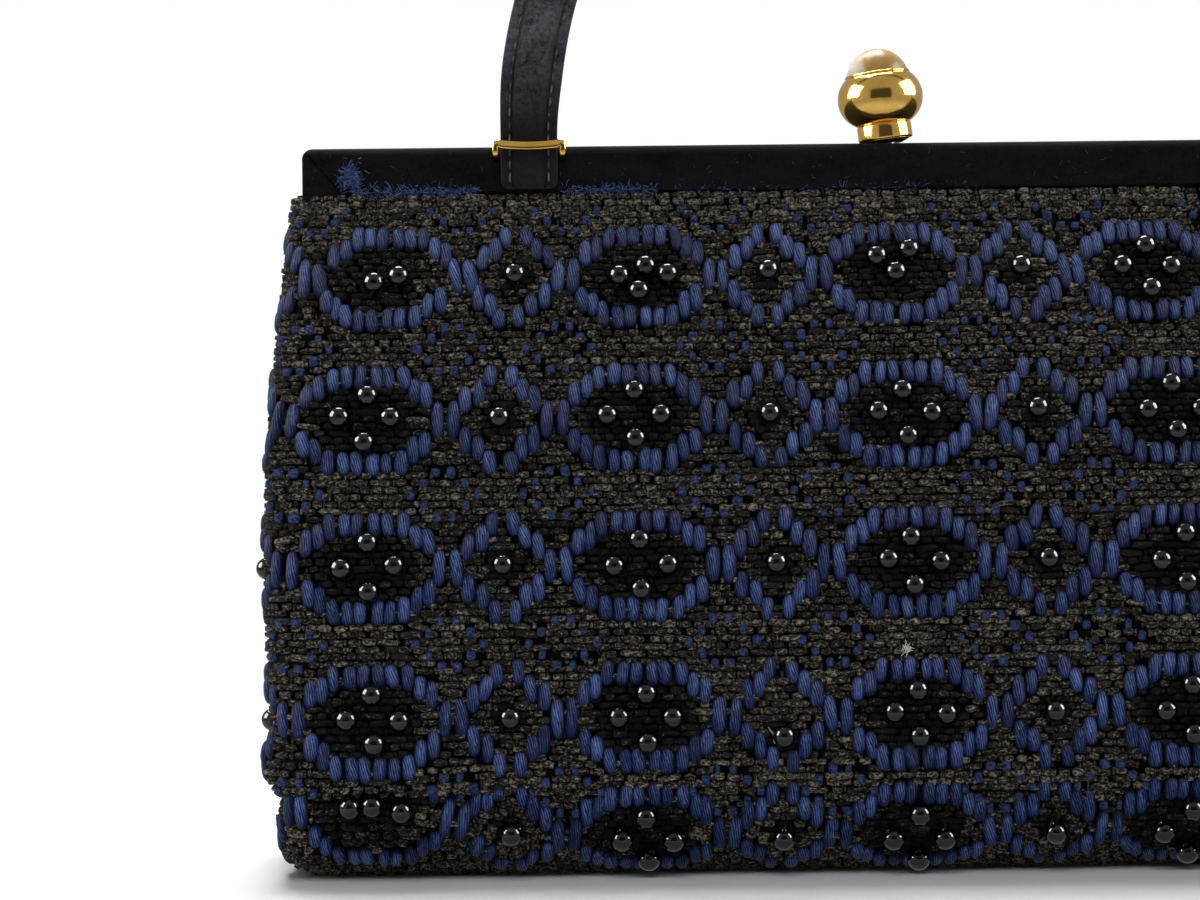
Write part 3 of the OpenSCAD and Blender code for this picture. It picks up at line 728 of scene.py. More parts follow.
def speckPlaces():
    found = []
    middles = [v + pattern["rowPitch"] / 2 for v in rowPlaces[:-1]] + [rowPlaces[0] - pattern["rowPitch"] / 2]
    for v in middles:
        for i in motifs:
            for along, down in weave["specks"]:
                for side in (-1, 1):
                    found.append(((i + 0.5) * pattern["pitch"] + side * along, v + down))
    kept = np.array([f for f in found if f[1] > weave["speckTop"] and fits(*f, *weave["speckNeeds"])])
    kept[:, 0] = drift(kept[:, 0], kept[:, 1])
    return kept


def motifPlace(s, v):
    # place within the repeat: distance from the nearest oval's column and from the nearest row
    column = np.abs((s / pattern["pitch"] + 0.5) % 1 - 0.5) * pattern["pitch"]
    row = np.min(np.abs(v[:, None] - np.array(rowPlaces)[None]), axis=1)
    return column, row


def underFloat(s, v):
    hidden = np.zeros(len(s), bool)
    for f in floatPlaces:
        near = np.abs(s - f[0]) < pattern["width"] * pattern["hides"]
        hidden |= near & (np.abs(v - f[1]) < f[2] * pattern["hides"])
    return hidden


def turnedAxes(axes, angle):
    # axes turned in the plane of the cloth
    turned = axes.copy()
    turned[:, 0] = axes[:, 0] * np.cos(angle)[:, None] + axes[:, 1] * np.sin(angle)[:, None]
    turned[:, 1] = axes[:, 1] * np.cos(angle)[:, None] - axes[:, 0] * np.sin(angle)[:, None]
    return turned


def nearAny(s, v, places, room):
    near = np.zeros(len(s), bool)
    for along, down in places:
        near |= (s - along) ** 2 + (v - down) ** 2 < room ** 2
    return near


def layWeave(name, half, places, size, shape, faces, tint, hue, dice):
    # left and right piece of one kind of yarn
    centres, axes = onCloth(places[:, 0], places[:, 1], np.full(len(places), -weave["sink"]))
    axes = turnedAxes(axes, dice.normal(0, weave["skew"], len(places)))
    for part, chosen in (("left", places[:, 0] < 0), ("right", places[:, 0] >= 0)):
        points, lists = copies(shape, faces, centres[chosen], axes[chosen], size[chosen])
        kept = {
            # crown is 1 on each pick's top and 0 at its foot, where the ground paint lays its painted shade
            "tint": np.repeat(tint[chosen], len(shape)), "hue": np.full(len(points), hue),
            "crown": np.tile((shape[:, 2] > 0).astype(float), int(chosen.sum())),
        }
        clothPiece(f"{name}_{part}", half, raised(points), lists, paints["ground"], kept)


def makeWeave(name, half, seed, worn):
    dice = np.random.default_rng(seed)
    specks = speckPlaces()
    beads = beadPlaces(worn)
    total = 0
    picks, warps = laidPicks(dice)
    kinds = (("picks", picks, pickShape, pickFaces), ("warps", warps, warpShape, warpFaces))
    for kind, laid, shape, faces in kinds:
        laid[:, 1] += dice.normal(0, weave["wander"], len(laid))
        s, v = laid[:, 0], laid[:, 1]
        laid = laid[~underFloat(s, v) & ~nearAny(s, v, specks, weave["speckRoom"])]
        count = len(laid)
        s, v, long, shade = laid.T
        column, row = motifPlace(s, v)
        tint = np.clip(dice.normal(*weave["tint"], count) + shade, *weave["tintRange"])
        # the tint is paler in the top rows, darker across rows 2 and 3 and paler towards the bottom; the
        # paler bottom is painted light
        tint += weave["topPaler"] * (1 - smooth(v / weave["topFade"])) + np.interp(v, *weave["fade"])
        # inside the ovals the ground is darker: partly a darker ground, partly painted shade among the floats
        # and beads
        inOval = (column < weave["ovalHalf"][0]) & (row < weave["ovalHalf"][1])
        tint += np.where(row > weave["bandFrom"], weave["bandPaler"], 0)
        tint -= np.where(inOval, weave["ovalDarker"], 0)
        # painted shadow: picks around each bead are darkened as in its shadow, and also made lower
        pit = nearAny(s, v, beads, weave["pit"])
        tint = np.where(pit, tint - weave["beadShadowDarker"], tint)
        varied = dice.normal(1, weave["highVaries"], count)
        high = weave["height"] * np.clip(varied, *weave["highRange"])
        high = np.where(pit, high * weave["pitLow"], high)
        if kind == "picks":
            wide = weave["width"] / 2 * dice.normal(1, weave["wideVaries"], count)
            size = np.stack([long / 2, wide, high], 1)
        else:
            wide = weave["warpWidth"] / 2 * dice.normal(1, weave["warpWideVaries"], count)
            size = np.stack([wide, long / 2, high * weave["warpLow"]], 1)
        layWeave(f"{name}_{kind}", half, laid, size, shape, faces, tint, 0.0, dice)
        total += count
    specks = specks[~underFloat(specks[:, 0], specks[:, 1])] + dice.normal(0, weave["speckWander"], (1, 2))
    size = np.array(weave["speckSize"]) * dice.normal(1, weave["speckVaries"], (len(specks), 3))
    layWeave(f"{name}_specks", half, specks, size, pickShape, pickFaces, dice.random(len(specks)), 1.0, dice)
    return total


# yarn floats: puffed, tapering at both ends
yarn = {
    "sink": 0.1, "slant": 0.06, "plump": 1.2, "stretch": 1.05, "tuck": 0.2, "wander": (0.12, 0.18),
    "skew": 0.07, "wideVaries": 0.07, "longVaries": 0.05, "highVaries": 0.1,
    "bunch": 0.8, "taper": 3.6, "tip": 0.004, "slope": 2.8, "shoulder": 0.55, "dome": 0.97,
}


def floatShape(across=7, along=9):
    a = np.linspace(-1, 1, across)
    b = np.linspace(-1, 1, along)
    b = np.sign(b) * np.abs(b) ** yarn["bunch"]
    bb, aa = np.meshgrid(b, a, indexing="ij")
    wide = np.sqrt(np.maximum(1 - np.abs(bb) ** yarn["taper"], yarn["tip"]))
    high = np.maximum(1 - np.abs(bb) ** yarn["slope"], 0.0) ** yarn["shoulder"]
    dome = np.sqrt(np.maximum(1 - yarn["dome"] * aa * aa, 0))
    points = np.stack([aa * wide, bb, high * dome], -1).reshape(-1, 3)
    return points, gridFaces(along, across)


def makeFloats(name, half, seed):
    dice = np.random.default_rng(seed)
    shape, faces = floatShape()
    count = len(floatPlaces)
    s, v, long, slant = floatPlaces.T
    s = s + dice.normal(0, yarn["wander"][0], count)
    v = v + dice.normal(0, yarn["wander"][1], count)
    centres, axes = onCloth(s, v, np.full(count, -yarn["sink"]))
    turned = turnedAxes(axes, dice.normal(0, yarn["skew"], count) - slant * yarn["slant"])
    size = np.stack([
        pattern["width"] / 2 * dice.normal(yarn["plump"], yarn["wideVaries"], count),
        long / 2 * dice.normal(yarn["stretch"], yarn["longVaries"], count) + yarn["tuck"],
        pattern["height"] * dice.normal(1, yarn["highVaries"], count)], 1)
    points, lists = copies(shape, faces, centres, turned, size)
    local = (shape[None] * size[:, None]).reshape(-1, 3)
    across = np.stack([local[:, 0], local[:, 1], np.repeat(dice.random(count), len(shape))], 1)
    # crown is each point's height on its float: the yarn paint darkens the low edges with painted shade and
    # puts a painted highlight on the top
    kept = {"yarn": across, "crown": np.tile(shape[:, 2], count)}
    stands = (name + "_floats",)
    clothPiece(name + "_yarn_floats", half, raised(points), lists, paints["yarn"], kept, stands)
    return count


# beads: round glass with a hole, sewn on by a thread through it
bead = {
    "size": 4.7, "hole": 0.5, "lift": 2.2, "endReach": 132.0, "endLift": 0.3, "baseFrom": 137, "baseFade": 4,
    "baseLift": 0.4, "floorGap": 0.1, "thread": 0.17, "threadSides": 5,
    "wander": 0.22, "skew": 0.45, "dimple": (0.55, 0.8),
    "loop": [
        (-2.7, 0.3, -2.2), (-2.35, 0.1, -0.7), (-1.7, 0, 0), (1.7, 0, 0), (2.35, -0.1, -0.7),
        (2.7, -0.3, -2.2),
    ],
    "oval": [(-5.5, 0), (5.5, 0), (0, 5), (0, -5)], "diamond": [(0, 0)],
    "wornOvals": {
        (-2, 0): [(-2.5, -1.5), (2.5, -0.4)],
        (-1, 0): [(-5, -0.6), (0.6, 1.3), (5.4, 0), (-0.2, -3.9)],
        (0, 0): [(-3.9, 2.9), (3.5, 4.3), (0.4, -0.6)],
        (-2, 4): [(-4.6, 1.0), (-0.2, 0.8), (5.6, 0.0)],
    },
    "wornDiamonds": {(-1, 3): [(0, -4.5)], (-3, 0): [], (-3, 1): [], (-3, 4): []},
}


def beadShape(around=20, steps=11):
    r = bead["size"] / 2
    start = math.asin(bead["hole"] / r)
    bow = np.linspace(start, math.pi - start, steps)
    bow = np.concatenate([[start], bow, [math.pi - start]])
    axial = r * np.cos(bow)
    radial = r * np.sin(bow)
    axial[[0, -1]] *= bead["dimple"][0]
    radial[[0, -1]] *= bead["dimple"][1]
    points = np.stack([np.repeat(axial, around), *spun(radial, around)], 1)
    return points, flipped(ringFaces(len(bow), around)[:-2])  # the hole stays open


def beadPlaces(worn):
    found = []
    for k, v in enumerate(rowPlaces):
        for i in motifs:
            ovals = bead["wornOvals"].get((i, k), bead["oval"]) if worn else bead["oval"]
            diamonds = bead["wornDiamonds"].get((i, k), bead["diamond"]) if worn else bead["diamond"]
            for along, up in ovals:
                found.append((i * pattern["pitch"] + along, v - up))
            for along, up in diamonds:
                found.append(((i + 0.5) * pattern["pitch"] + along, v - up))
    kept = np.array([f for f in found if fits(f[0], f[1], bead["size"], bead["size"])])
    kept[:, 0] = drift(kept[:, 0], kept[:, 1])
    return kept


def makeBeads(name, half, seed, worn):
    dice = np.random.default_rng(seed)
    places = beadPlaces(worn)
    s, v = (places + dice.normal(0, bead["wander"], places.shape)).T
    count = len(places)
    sunk = np.abs(s) > bead["endReach"]  # drawn into the folded ends
    lift = bead["lift"] + bead["baseLift"] * smooth((v - bead["baseFrom"]) / bead["baseFade"])
    centres, axes = onCloth(s, v, np.where(sunk, bead["endLift"], lift))
    centres = raised(centres, bead["size"] / 2 + bead["floorGap"])
    turned = turnedAxes(axes, dice.normal(math.pi / 2, bead["skew"], count))
    shape, faces = beadShape()
    points, lists = copies(shape, faces, centres, turned, np.ones((count, 3)))
    stands = (name + "_beads",)
    clothPiece(name + "_glass_beads", half, points, lists, paints["glass"], None, stands)
    paths = centres[:, None] + np.einsum("ik,nkj->nij", np.array(bead["loop"]), turned)
    points, lists = tubes(paths, bead["thread"], bead["threadSides"])
    dark = {"tint": np.full(len(points), 0.1)}
    clothPiece(name + "_bead_threads", half, raised(points), lists, paints["cord"], dark)
    return count


# lining, inside the cloth
lining = {"inset": 3.0, "start": 4.5, "short": 5, "columns": 60, "rows": 30}


def makeLining(name, half):
    end = dropLength - lining["short"]
    points, faces = shell(lining["inset"], lining["start"], end, lining["columns"], lining["rows"])
    stands = (name + "_lining",)
    clothPiece(name + "_lining_cloth", half, points, faces, paints["lining"], None, stands)


for k, (name, half) in enumerate(halves.items()):
    makeBacking(name, half)
    makeLining(name, half)
    pickCount = makeWeave(name, half, seeds["weave"] + k, name == "front")
    floatCount = makeFloats(name, half, seeds["floats"] + k)
    beadCount = makeBeads(name, half, seeds["beads"] + k, name == "front")
    print(name, "cloth:", pickCount, "picks,", floatCount, "floats,", beadCount, "beads")

# padded strap in one length with its two ends, stitched along both edges
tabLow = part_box("left_strap_end")[0]
strap = {
    "span": 154.0, "rise": 92.0, "rootZ": 154.6, "y": -13.7, "tabY": -13.45, "width": 13.0, "tabWidth": 12.0,
    "pad": 5.8, "tabPad": 2.3, "edge": 2.0, "rim": 0.9, "twist": 0.6, "groove": 0.6, "grooveDepth": 0.62,
    "grooveSpan": 0.04, "grow": 15.0, "arch": 150, "straight": 9, "endRound": 1.5, "endGap": 0.1,
    "endSteps": 6, "slope": 2.6, "shoulder": 0.55,
    "across": (1, 0.97, 0.93, 0.86, 0.76, 0.68, 0.64, 0.6, 0.57, 0.52, 0.42, 0.28, 0.1),
}
stitch = {
    "length": 1.7, "gap": 1.0, "line": 0.68, "start": 1.5, "end": 3, "thread": 0.2, "sides": 6,
    "bow": ((0, -0.12), (0.25, 0.12), (0.75, 0.12), (1, -0.12)),
}


def bendAtStaple(piece):
    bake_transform(piece)


def strapRings():
    # centre, width direction, thickness direction, and how far the padding has grown, at each ring
    low = tabLow.z / mm + strap["endGap"]
    half, rise = strap["span"] / 2, strap["rise"]
    rings = []
    bend = low + strap["endRound"]
    turns = np.linspace(0, math.pi / 2, strap["endSteps"])[:-1]
    heights = low + strap["endRound"] * (1 - np.cos(turns))
    heights = np.append(heights, np.linspace(bend, strap["rootZ"], strap["straight"], endpoint=False))
    for z in heights:
        part = (z - low) / (strap["rootZ"] - low)
        y = strap["tabY"] + (strap["y"] - strap["tabY"]) * part
        rings.append((np.array([-half, y, z]), np.array([0, 0, 1.0]), 0.0, 0.0))
    for a in np.linspace(0, math.pi, strap["arch"] + 1):
        centre = np.array([-half * math.cos(a), strap["y"], strap["rootZ"] + rise * math.sin(a)])
        ahead = unit(np.array([half * math.sin(a), 0, rise * math.cos(a)]))
        turn = math.pi / 2 * (1 - abs(1 - 2 * a / math.pi) ** strap["twist"])
        rings.append((centre, ahead, turn, min(1, rise * math.sin(a) / strap["grow"])))
    for centre, ahead, turn, grow in rings[len(heights) - 1::-1]:
        rings.append((centre * [-1, 1, 1], -ahead, turn, grow))
    found = []
    for centre, ahead, turn, grow in rings:
        outer = np.array([-ahead[2], 0, ahead[0]])
        across = outer * math.cos(turn) - np.array([0, 1.0, 0]) * math.sin(turn)
        found.append((centre, across, np.cross(ahead, across), smooth(grow)))
    return found


def strapHeight(q, grow):
    # half thickness at q across the strap, from -1 to 1
    pad = (strap["pad"] * grow + strap["tabPad"] * (1 - grow)) / 2
    edge = strap["edge"] / 2
    q = np.abs(q)
    crown = np.maximum(1 - (q / strap["groove"]) ** strap["slope"], 0) ** strap["shoulder"]
    rim = edge * np.sqrt(np.maximum(1 - np.clip((q - strap["rim"]) / (1 - strap["rim"]), 0, 1) ** 2, 0.0))
    groove = strap["grooveDepth"] * hump(q, strap["groove"], strap["grooveSpan"])
    return np.where(q < strap["groove"], edge + (pad - edge) * crown, rim) - groove


def strapWidth(grow):
    return strap["width"] * grow + strap["tabWidth"] * (1 - grow)


def makeStrap():
    rings = strapRings()
    upper = np.array(strap["across"])
    q = np.concatenate([upper, -upper[::-1]])
    q = np.concatenate([q, -q[1:-1]])
    face = np.concatenate([np.ones(2 * len(upper)), -np.ones(2 * len(upper) - 2)])
    points = []
    for centre, across, out, grow in rings:
        high = strapHeight(q, grow) * face
        short = np.clip(1 - (centre[2] - rings[0][0][2]) / strap["endRound"], 0, 1)
        half = strapWidth(grow) / 2 - strap["endRound"] * (1 - math.sqrt(1 - short * short))
        points.append(centre + np.outer(q * half, across) + np.outer(high, out))
    faces = flipped(ringFaces(len(rings), len(q)))
    piece = makePiece("padded_strap", np.concatenate(points), faces, paints["strap"])
    bendAtStaple(piece)
    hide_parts("handle_strap", "left_strap_end", "right_strap_end")
    return rings


def makeStitches(rings):
    centres = np.array([r[0] for r in rings])
    length = np.concatenate([[0], np.cumsum(np.linalg.norm(np.diff(centres, axis=0), axis=1))])
    starts = np.arange(stitch["start"], length[-1] - stitch["end"], stitch["length"] + stitch["gap"])
    paths = []
    for side in (-1, 1):
        for face in (-1, 1):
            for start in starts:
                path = []
                for part, rise in stitch["bow"]:
                    at = start + part * stitch["length"]
                    k = min(int(np.searchsorted(length, at)), len(rings) - 1)
                    f = (at - length[k - 1]) / (length[k] - length[k - 1])
                    pairs = zip(rings[k - 1], rings[k])
                    centre, across, out, grow = [a * (1 - f) + b * f for a, b in pairs]
                    q = side * stitch["line"]
                    high = float(strapHeight(np.array(q), grow)) + rise
                    path.append(centre + across * q * strapWidth(grow) / 2 + out * face * high)
                paths.append(path)
    points, faces = tubes(paths, stitch["thread"], stitch["sides"])
    dice = np.random.default_rng(seeds["stitches"])
    tint = np.repeat(dice.random(len(paths)), len(points) // len(paths))
    piece = makePiece("strap_stitches", points, faces, paints["stitch"], {"tint": tint})
    bendAtStaple(piece)


makeStitches(makeStrap())
print("strap made")

# gilt staples: a flat bowed band whose legs turn back into the frame
staple = {
    "place": 77.0, "half": 7.1, "y": -16.05, "z": 153.2, "low": 150.8, "bow": 0.5, "turn": 0.9, "back": -11.6,
    "band": 2.0, "leg": 1.35, "thick": 1.15, "tip": 0.36, "around": 20, "squareness": 0.65,
    "start": 0.3, "steps": (14, 8, 6),
}


def stapleRings():
    # place, flat direction and flat width along the right half, from the middle of the band to the hidden end
    rings = []
    half, turn, low, y, z = [staple[key] for key in ("half", "turn", "low", "y", "z")]
    band, leg = staple["band"], staple["leg"]
    bandSteps, turnSteps, legSteps = staple["steps"]
    back, up = math.sin(staple["tip"]), math.cos(staple["tip"])
    for x in np.linspace(staple["start"], half - turn, bandSteps):
        rings.append(((x, y, z - staple["bow"] * (1 - (x / half) ** 2)), (0, back, up), band))
    for a in np.linspace(0, math.pi / 2, turnSteps)[1:]:
        place = (half - turn + turn * math.sin(a), y, z - turn + turn * math.cos(a))
        width = band + (leg - band) * a / (math.pi / 2)
        rings.append((place, (math.sin(a), back * math.cos(a), up * math.cos(a)), width))
    for a in np.linspace(0, math.pi / 2, legSteps):
        place = (half, y + turn * (1 - math.cos(a)), low + turn - turn * math.sin(a))
        rings.append((place, (1, 0, 0), leg))
    rings.append(((half, staple["back"], low), (1, 0, 0), leg))
    return rings


def makeStaple(name, side):
    right = stapleRings()
    flip = np.array([-1.0, 1, 1])
    rings = [(np.array(c) * flip, np.array(w) * flip, size) for c, w, size in right[::-1]]
    rings += [(np.array(c), np.array(w), size) for c, w, size in right]
    centres = np.array([r[0] for r in rings], float)
    flat = np.array([r[1] for r in rings], float)
    wide = np.array([r[2] for r in rings])[:, None, None]
    thick = np.cross(unit(np.gradient(centres, axis=0)), flat)
    n = staple["around"]
    angle = circle(n)
    squared = [np.sign(c) * np.abs(c) ** staple["squareness"] for c in (np.cos(angle), np.sin(angle))]
    points = centres[:, None] + flat[:, None] * squared[0][None, :, None] * wide / 2
    points = points + thick[:, None] * squared[1][None, :, None] * staple["thick"] / 2
    points[..., 0] += side * staple["place"]
    piece = makePiece("gilt_" + name, points.reshape(-1, 3), ringFaces(len(rings), n), paints["gilt"])
    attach(piece, "front_frame")
    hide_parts(name)


makeStaple("left_staple", -1)
makeStaple("right_staple", 1)
print("staples made")

# clasp turned from smooth profiles about its leaned axis
# collarBase and collarTop: steps from the collar's radius and from its lower or upper end
clasp = {
    "pivot": (0.0, -6.2, 148.2), "lean": math.radians(7), "collarLow": 5.81, "collarRadius": 5.8,
    "bulbRadius": 6.2, "bulbFlat": 2.9, "bulbMiddle": 14.87, "seatRise": 4.96, "seatRadius": 6.62,
    "pearlHeight": 5.6, "rimWire": 0.3, "around": 96, "bulbSteps": 40, "pearlSteps": 28, "rimSteps": 14,
    "neck": 0.6, "neckTuck": 0.4, "pearlSink": 0.05, "poleGap": 0.01, "rimOut": 0.02, "rimUp": 0.12,
    "rimArc": (-0.6, 0.95),
    "collarBase": [(-0.5, 0), (-0.12, 0.1), (0, 0.4), (0, 0.45)],
    "collarTop": [(0, -0.5), (-0.15, -0.2), (-0.5, 0), (-1.2, 0.35)],
    "foot": [(3.4, -0.8), (4.4, -0.4), (5.1, -0.1), (5.2, 0.05)],
}


def lathed(name, outline, material, stands):
    # an outline of [radius, height] turned about the clasp's axis
    n = clasp["around"]
    radial, axial = np.array(outline).T
    x, y = spun(radial, n)
    z = np.repeat(axial, n)
    side, up = math.sin(clasp["lean"]), math.cos(clasp["lean"])
    points = np.stack([x * up - z * side, y, x * side + z * up], 1)
    points += np.array(clasp["pivot"])
    piece = makePiece(name, points, ringFaces(len(outline), n), material)
    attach(piece, "clasp")
    if stands:
        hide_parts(stands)


def makeClasp():
    r, flat, middle = clasp["bulbRadius"], clasp["bulbFlat"], clasp["bulbMiddle"]
    low = math.asin((clasp["collarRadius"] - clasp["neck"] - flat) / r)
    high = math.asin(clasp["seatRise"] / r)
    bow = np.linspace(low - math.pi / 2, high, clasp["bulbSteps"])
    bulb = [(flat + r * math.cos(b), middle + r * math.sin(b)) for b in bow]
    bulb[0] = (bulb[0][0] - clasp["neckTuck"], bulb[0][1])  # its lower rim lies inside the collar
    lathed("gilt_bulb", bulb, paints["gilt"], "clasp_bulb")
    c = clasp["collarRadius"]
    base = clasp["collarLow"]
    top = middle - math.sqrt(r * r - (c - flat) ** 2)
    ends = ((base, "collarBase"), (top, "collarTop"))
    collar = [(c + wider, z + higher) for z, end in ends for wider, higher in clasp[end]]
    lathed("gilt_collar", collar, paints["gilt"], "clasp_collar")
    foot = [(radius, base + higher) for radius, higher in clasp["foot"]]
    lathed("collar_foot", foot, paints["gilt"], "")
    seat = middle + clasp["seatRise"]
    ball = (clasp["seatRadius"] ** 2 + clasp["pearlHeight"] ** 2) / (2 * clasp["pearlHeight"])
    bottom = seat + clasp["pearlHeight"] - ball
    start = math.asin((seat - clasp["pearlSink"] - bottom) / ball)
    bow = np.linspace(start, math.pi / 2 - clasp["poleGap"], clasp["pearlSteps"])
    pearl = [(ball * math.cos(b), bottom + ball * math.sin(b)) for b in bow]
    lathed("clasp_half_pearl", pearl, paints["pearl"], "clasp_pearl")
    ring, wire = clasp["seatRadius"] + clasp["rimOut"], clasp["rimWire"]
    bow = np.linspace(*[share * math.pi for share in clasp["rimArc"]], clasp["rimSteps"])
    rim = [(ring + wire * math.cos(b), seat + clasp["rimUp"] + wire * math.sin(b)) for b in bow]
    lathed("pearl_rim", rim, paints["gilt"], "")


makeClasp()
print("clasp made")

# suede covers: the solids with the upper corners of the frame rounded off
cover = {"corner": 2.4, "cuts": (0.3, 0.55, 0.785, 1.02, 1.27)}


def makeCover(name, body):
    mesh = nodes[name].data.copy()
    shape = bmesh.new()
    shape.from_mesh(mesh)
    r = cover["corner"] * mm
    for side in (-1, 1):
        for angle in cover["cuts"]:
            way = Vector((side * math.sin(angle), 0, math.cos(angle)))
            middle = Vector((side * (barHigh.x - r), 0, barHigh.z - r))
            everything = shape.verts[:] + shape.edges[:] + shape.faces[:]
            cut = bmesh.ops.bisect_plane(
                shape, geom=everything, plane_co=middle + way * r, plane_no=way, clear_outer=True)
            rim = [part for part in cut["geom_cut"] if isinstance(part, bmesh.types.BMEdge)]
            bmesh.ops.edgeloop_fill(shape, edges=rim)
    shape.to_mesh(mesh)
    shape.free()
    mesh.materials.clear()
    mesh.materials.append(paints["suede"])
    piece = linked(body + "_suede", mesh)
    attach(piece, body)
    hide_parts(name)


makeCover("front_frame_cover", "front_frame")
makeCover("rear_frame_cover", "rear_frame")
print("covers made")

# finishes of the solids that stay
finishes = {
    "steel": ("front_frame_channel", "rear_frame_channel", "clasp_lever", "clasp_keeper", "clasp_pivot_pin",
              "clasp_spring", "left_hinge_pin", "right_hinge_pin"),
    "lining": ("front_hem", "rear_hem"), "card": ("base_board",),
}
for paint, names in finishes.items():
    for name in names:
        mesh = nodes[name].data
        mesh.materials.clear()
        mesh.materials.append(paints[paint])

# fray of the cloth's edge over the frame, and lint on the frame; edges: from, to and number of fibres
fray = {
    "tuft": (-114.8, 146.6), "tuftReach": (0.9, 1.15), "tuftDepth": 0.7, "tuftCount": 560,
    "tuftCurl": (0.25, 0.8), "tuftThread": 0.07,
    "edges": [(-114.0, -88.0, 520), (-70.0, -50.0, 300), (-46.0, 20.0, 120)], "edgeZ": 143.5,
    "edgeSpread": 0.45, "edgeFrom": 0.3, "edgeDepth": 0.5, "edgeCurl": (0.25, 0.75), "edgeThread": 0.065,
    "off": 0.12, "lintCount": 110, "lintX": (-123, 123), "lintZ": (144.5, 152), "lintCurl": (0.15, 0.6),
    "lintThread": 0.025, "lintOff": 0.05,
}
fibre = {
    "sides": 4, "taper": 0.5, "rare": 2.5, "spread": (1, 0.55, 1), "lean": (0, -0.45, 0.1), "curl": 0.75,
    "flat": 0.5,
}
barFace = barLow.y / mm


def curls(dice, starts, reach, rings=6):
    # short curled fibres from each start
    count = len(starts)
    heading = unit(dice.normal(0, 1, (count, 3)) * fibre["spread"] + fibre["lean"])
    steps = heading[:, None] + np.cumsum(dice.normal(0, fibre["curl"], (count, rings, 3)), axis=1)
    return starts[:, None] + np.cumsum(steps, axis=1) * (reach / rings)[:, None, None]


def fibreTubes(paths, radius):
    return tubes(paths, radius, fibre["sides"], fibre["taper"])


def barFibres(name, paths, off, radius, paint, dice):
    # fibres on the frame's front face, kept off it
    paths[..., 1] = np.minimum(paths[..., 1], barFace - off)
    points, faces = fibreTubes(paths, radius)
    pale = dice.random(len(paths)) ** fibre["rare"]  # most are dark, a few pale
    tint = np.repeat(pale, len(points) // len(paths))
    piece = makePiece(name, points, faces, paints[paint], {"tint": tint})
    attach(piece, "front_frame")


def makeFray():
    dice = np.random.default_rng(seeds["fray"])
    n = fray["tuftCount"]
    x = fray["tuft"][0] + dice.normal(0, fray["tuftReach"][0], n)
    y = barFace - dice.random(n) * fray["tuftDepth"]
    z = fray["tuft"][1] + dice.normal(0, fray["tuftReach"][1], n)
    paths = curls(dice, np.stack([x, y, z], 1), dice.uniform(*fray["tuftCurl"], n))
    barFibres("fray_tuft", paths, fray["off"], fray["tuftThread"], "fuzz", dice)
    groups = []
    for start, end, n in fray["edges"]:
        x = dice.uniform(start, end, n)
        z = fray["edgeZ"] + dice.normal(0, fray["edgeSpread"], n)
        y = barFace - fray["edgeFrom"] - dice.random(n) * fray["edgeDepth"]
        spots = np.stack([x, y, z], 1)
        groups.append(curls(dice, spots, dice.uniform(*fray["edgeCurl"], n)))
    barFibres("fray_edge", np.concatenate(groups), fray["off"], fray["edgeThread"], "fuzz", dice)
    n, off = fray["lintCount"], fray["lintOff"]
    x, z = dice.uniform(*fray["lintX"], n), dice.uniform(*fray["lintZ"], n)
    spots = np.stack([x, np.full(n, barFace - off), z], 1)
    paths = curls(dice, spots, dice.uniform(*fray["lintCurl"], n))
    barFibres("bar_lint", paths, off, fray["lintThread"], "lint", dice)


# lint and a white speck on the front cloth
lint = {
    "count": 60, "s": (-125, 125), "v": (4, 135), "curl": (1.0, 4.5), "thread": 0.03, "lift": 0.8,
    "speck": (-0.8, 97.8), "speckSpread": (0.4, 0.35), "speckCount": 60, "speckCurl": (0.15, 0.45),
    "speckThread": 0.1, "speckLift": 1.1,
}


def clothFibres(name, s, v, reach, radius, paint, dice, lift):
    centres, axes = onCloth(s, v, np.full(len(s), lift))
    local = curls(dice, np.zeros((len(s), 3)), reach)
    local = local[..., [0, 2, 1]] * [1, 1, -1]
    local[..., 2] = np.abs(local[..., 2]) * fibre["flat"]
    paths = centres[:, None] + np.einsum("nik,nkj->nij", local, axes)
    points, faces = fibreTubes(paths, radius)
    tint = np.repeat(dice.random(len(paths)), len(points) // len(paths))
    clothPiece(name, halves["front"], points, faces, paints[paint], {"tint": tint})


def makeLint():
    dice = np.random.default_rng(seeds["lint"])
    n = lint["count"]
    s = dice.uniform(*lint["s"], n)
    v = dice.uniform(*lint["v"], n)
    reach = dice.uniform(*lint["curl"], n)
    clothFibres("cloth_lint", s, v, reach, lint["thread"], "lint", dice, lint["lift"])
    n = lint["speckCount"]
    s, v = [place + dice.normal(0, spread, n) for place, spread in zip(lint["speck"], lint["speckSpread"])]
    reach = dice.uniform(*lint["speckCurl"], n)
    clothFibres("white_speck", s, v, reach, lint["speckThread"], "fluff", dice, lint["speckLift"])


# a loose thread of the front cloth
hanging = {
    "s": (-29.4, -29.0, -28.5, -28.3, -28.4, -28.2), "v": (113.5, 116.8),
    "lift": (0.6, 1.2, 1.5, 1.7, 2.1, 2.2), "thread": 0.16, "sides": 6, "tint": 0.8,
}


def makeHanging():
    s = np.array(hanging["s"])
    path = onCloth(s, np.linspace(*hanging["v"], len(s)), np.array(hanging["lift"]))[0]
    points, faces = tubes(path[None], hanging["thread"], hanging["sides"])
    tint = {"tint": np.full(len(points), hanging["tint"])}
    clothPiece("hanging_thread", halves["front"], points, faces, paints["lint"], tint)


makeFray()
makeLint()
makeHanging()
print("fray and lint made")

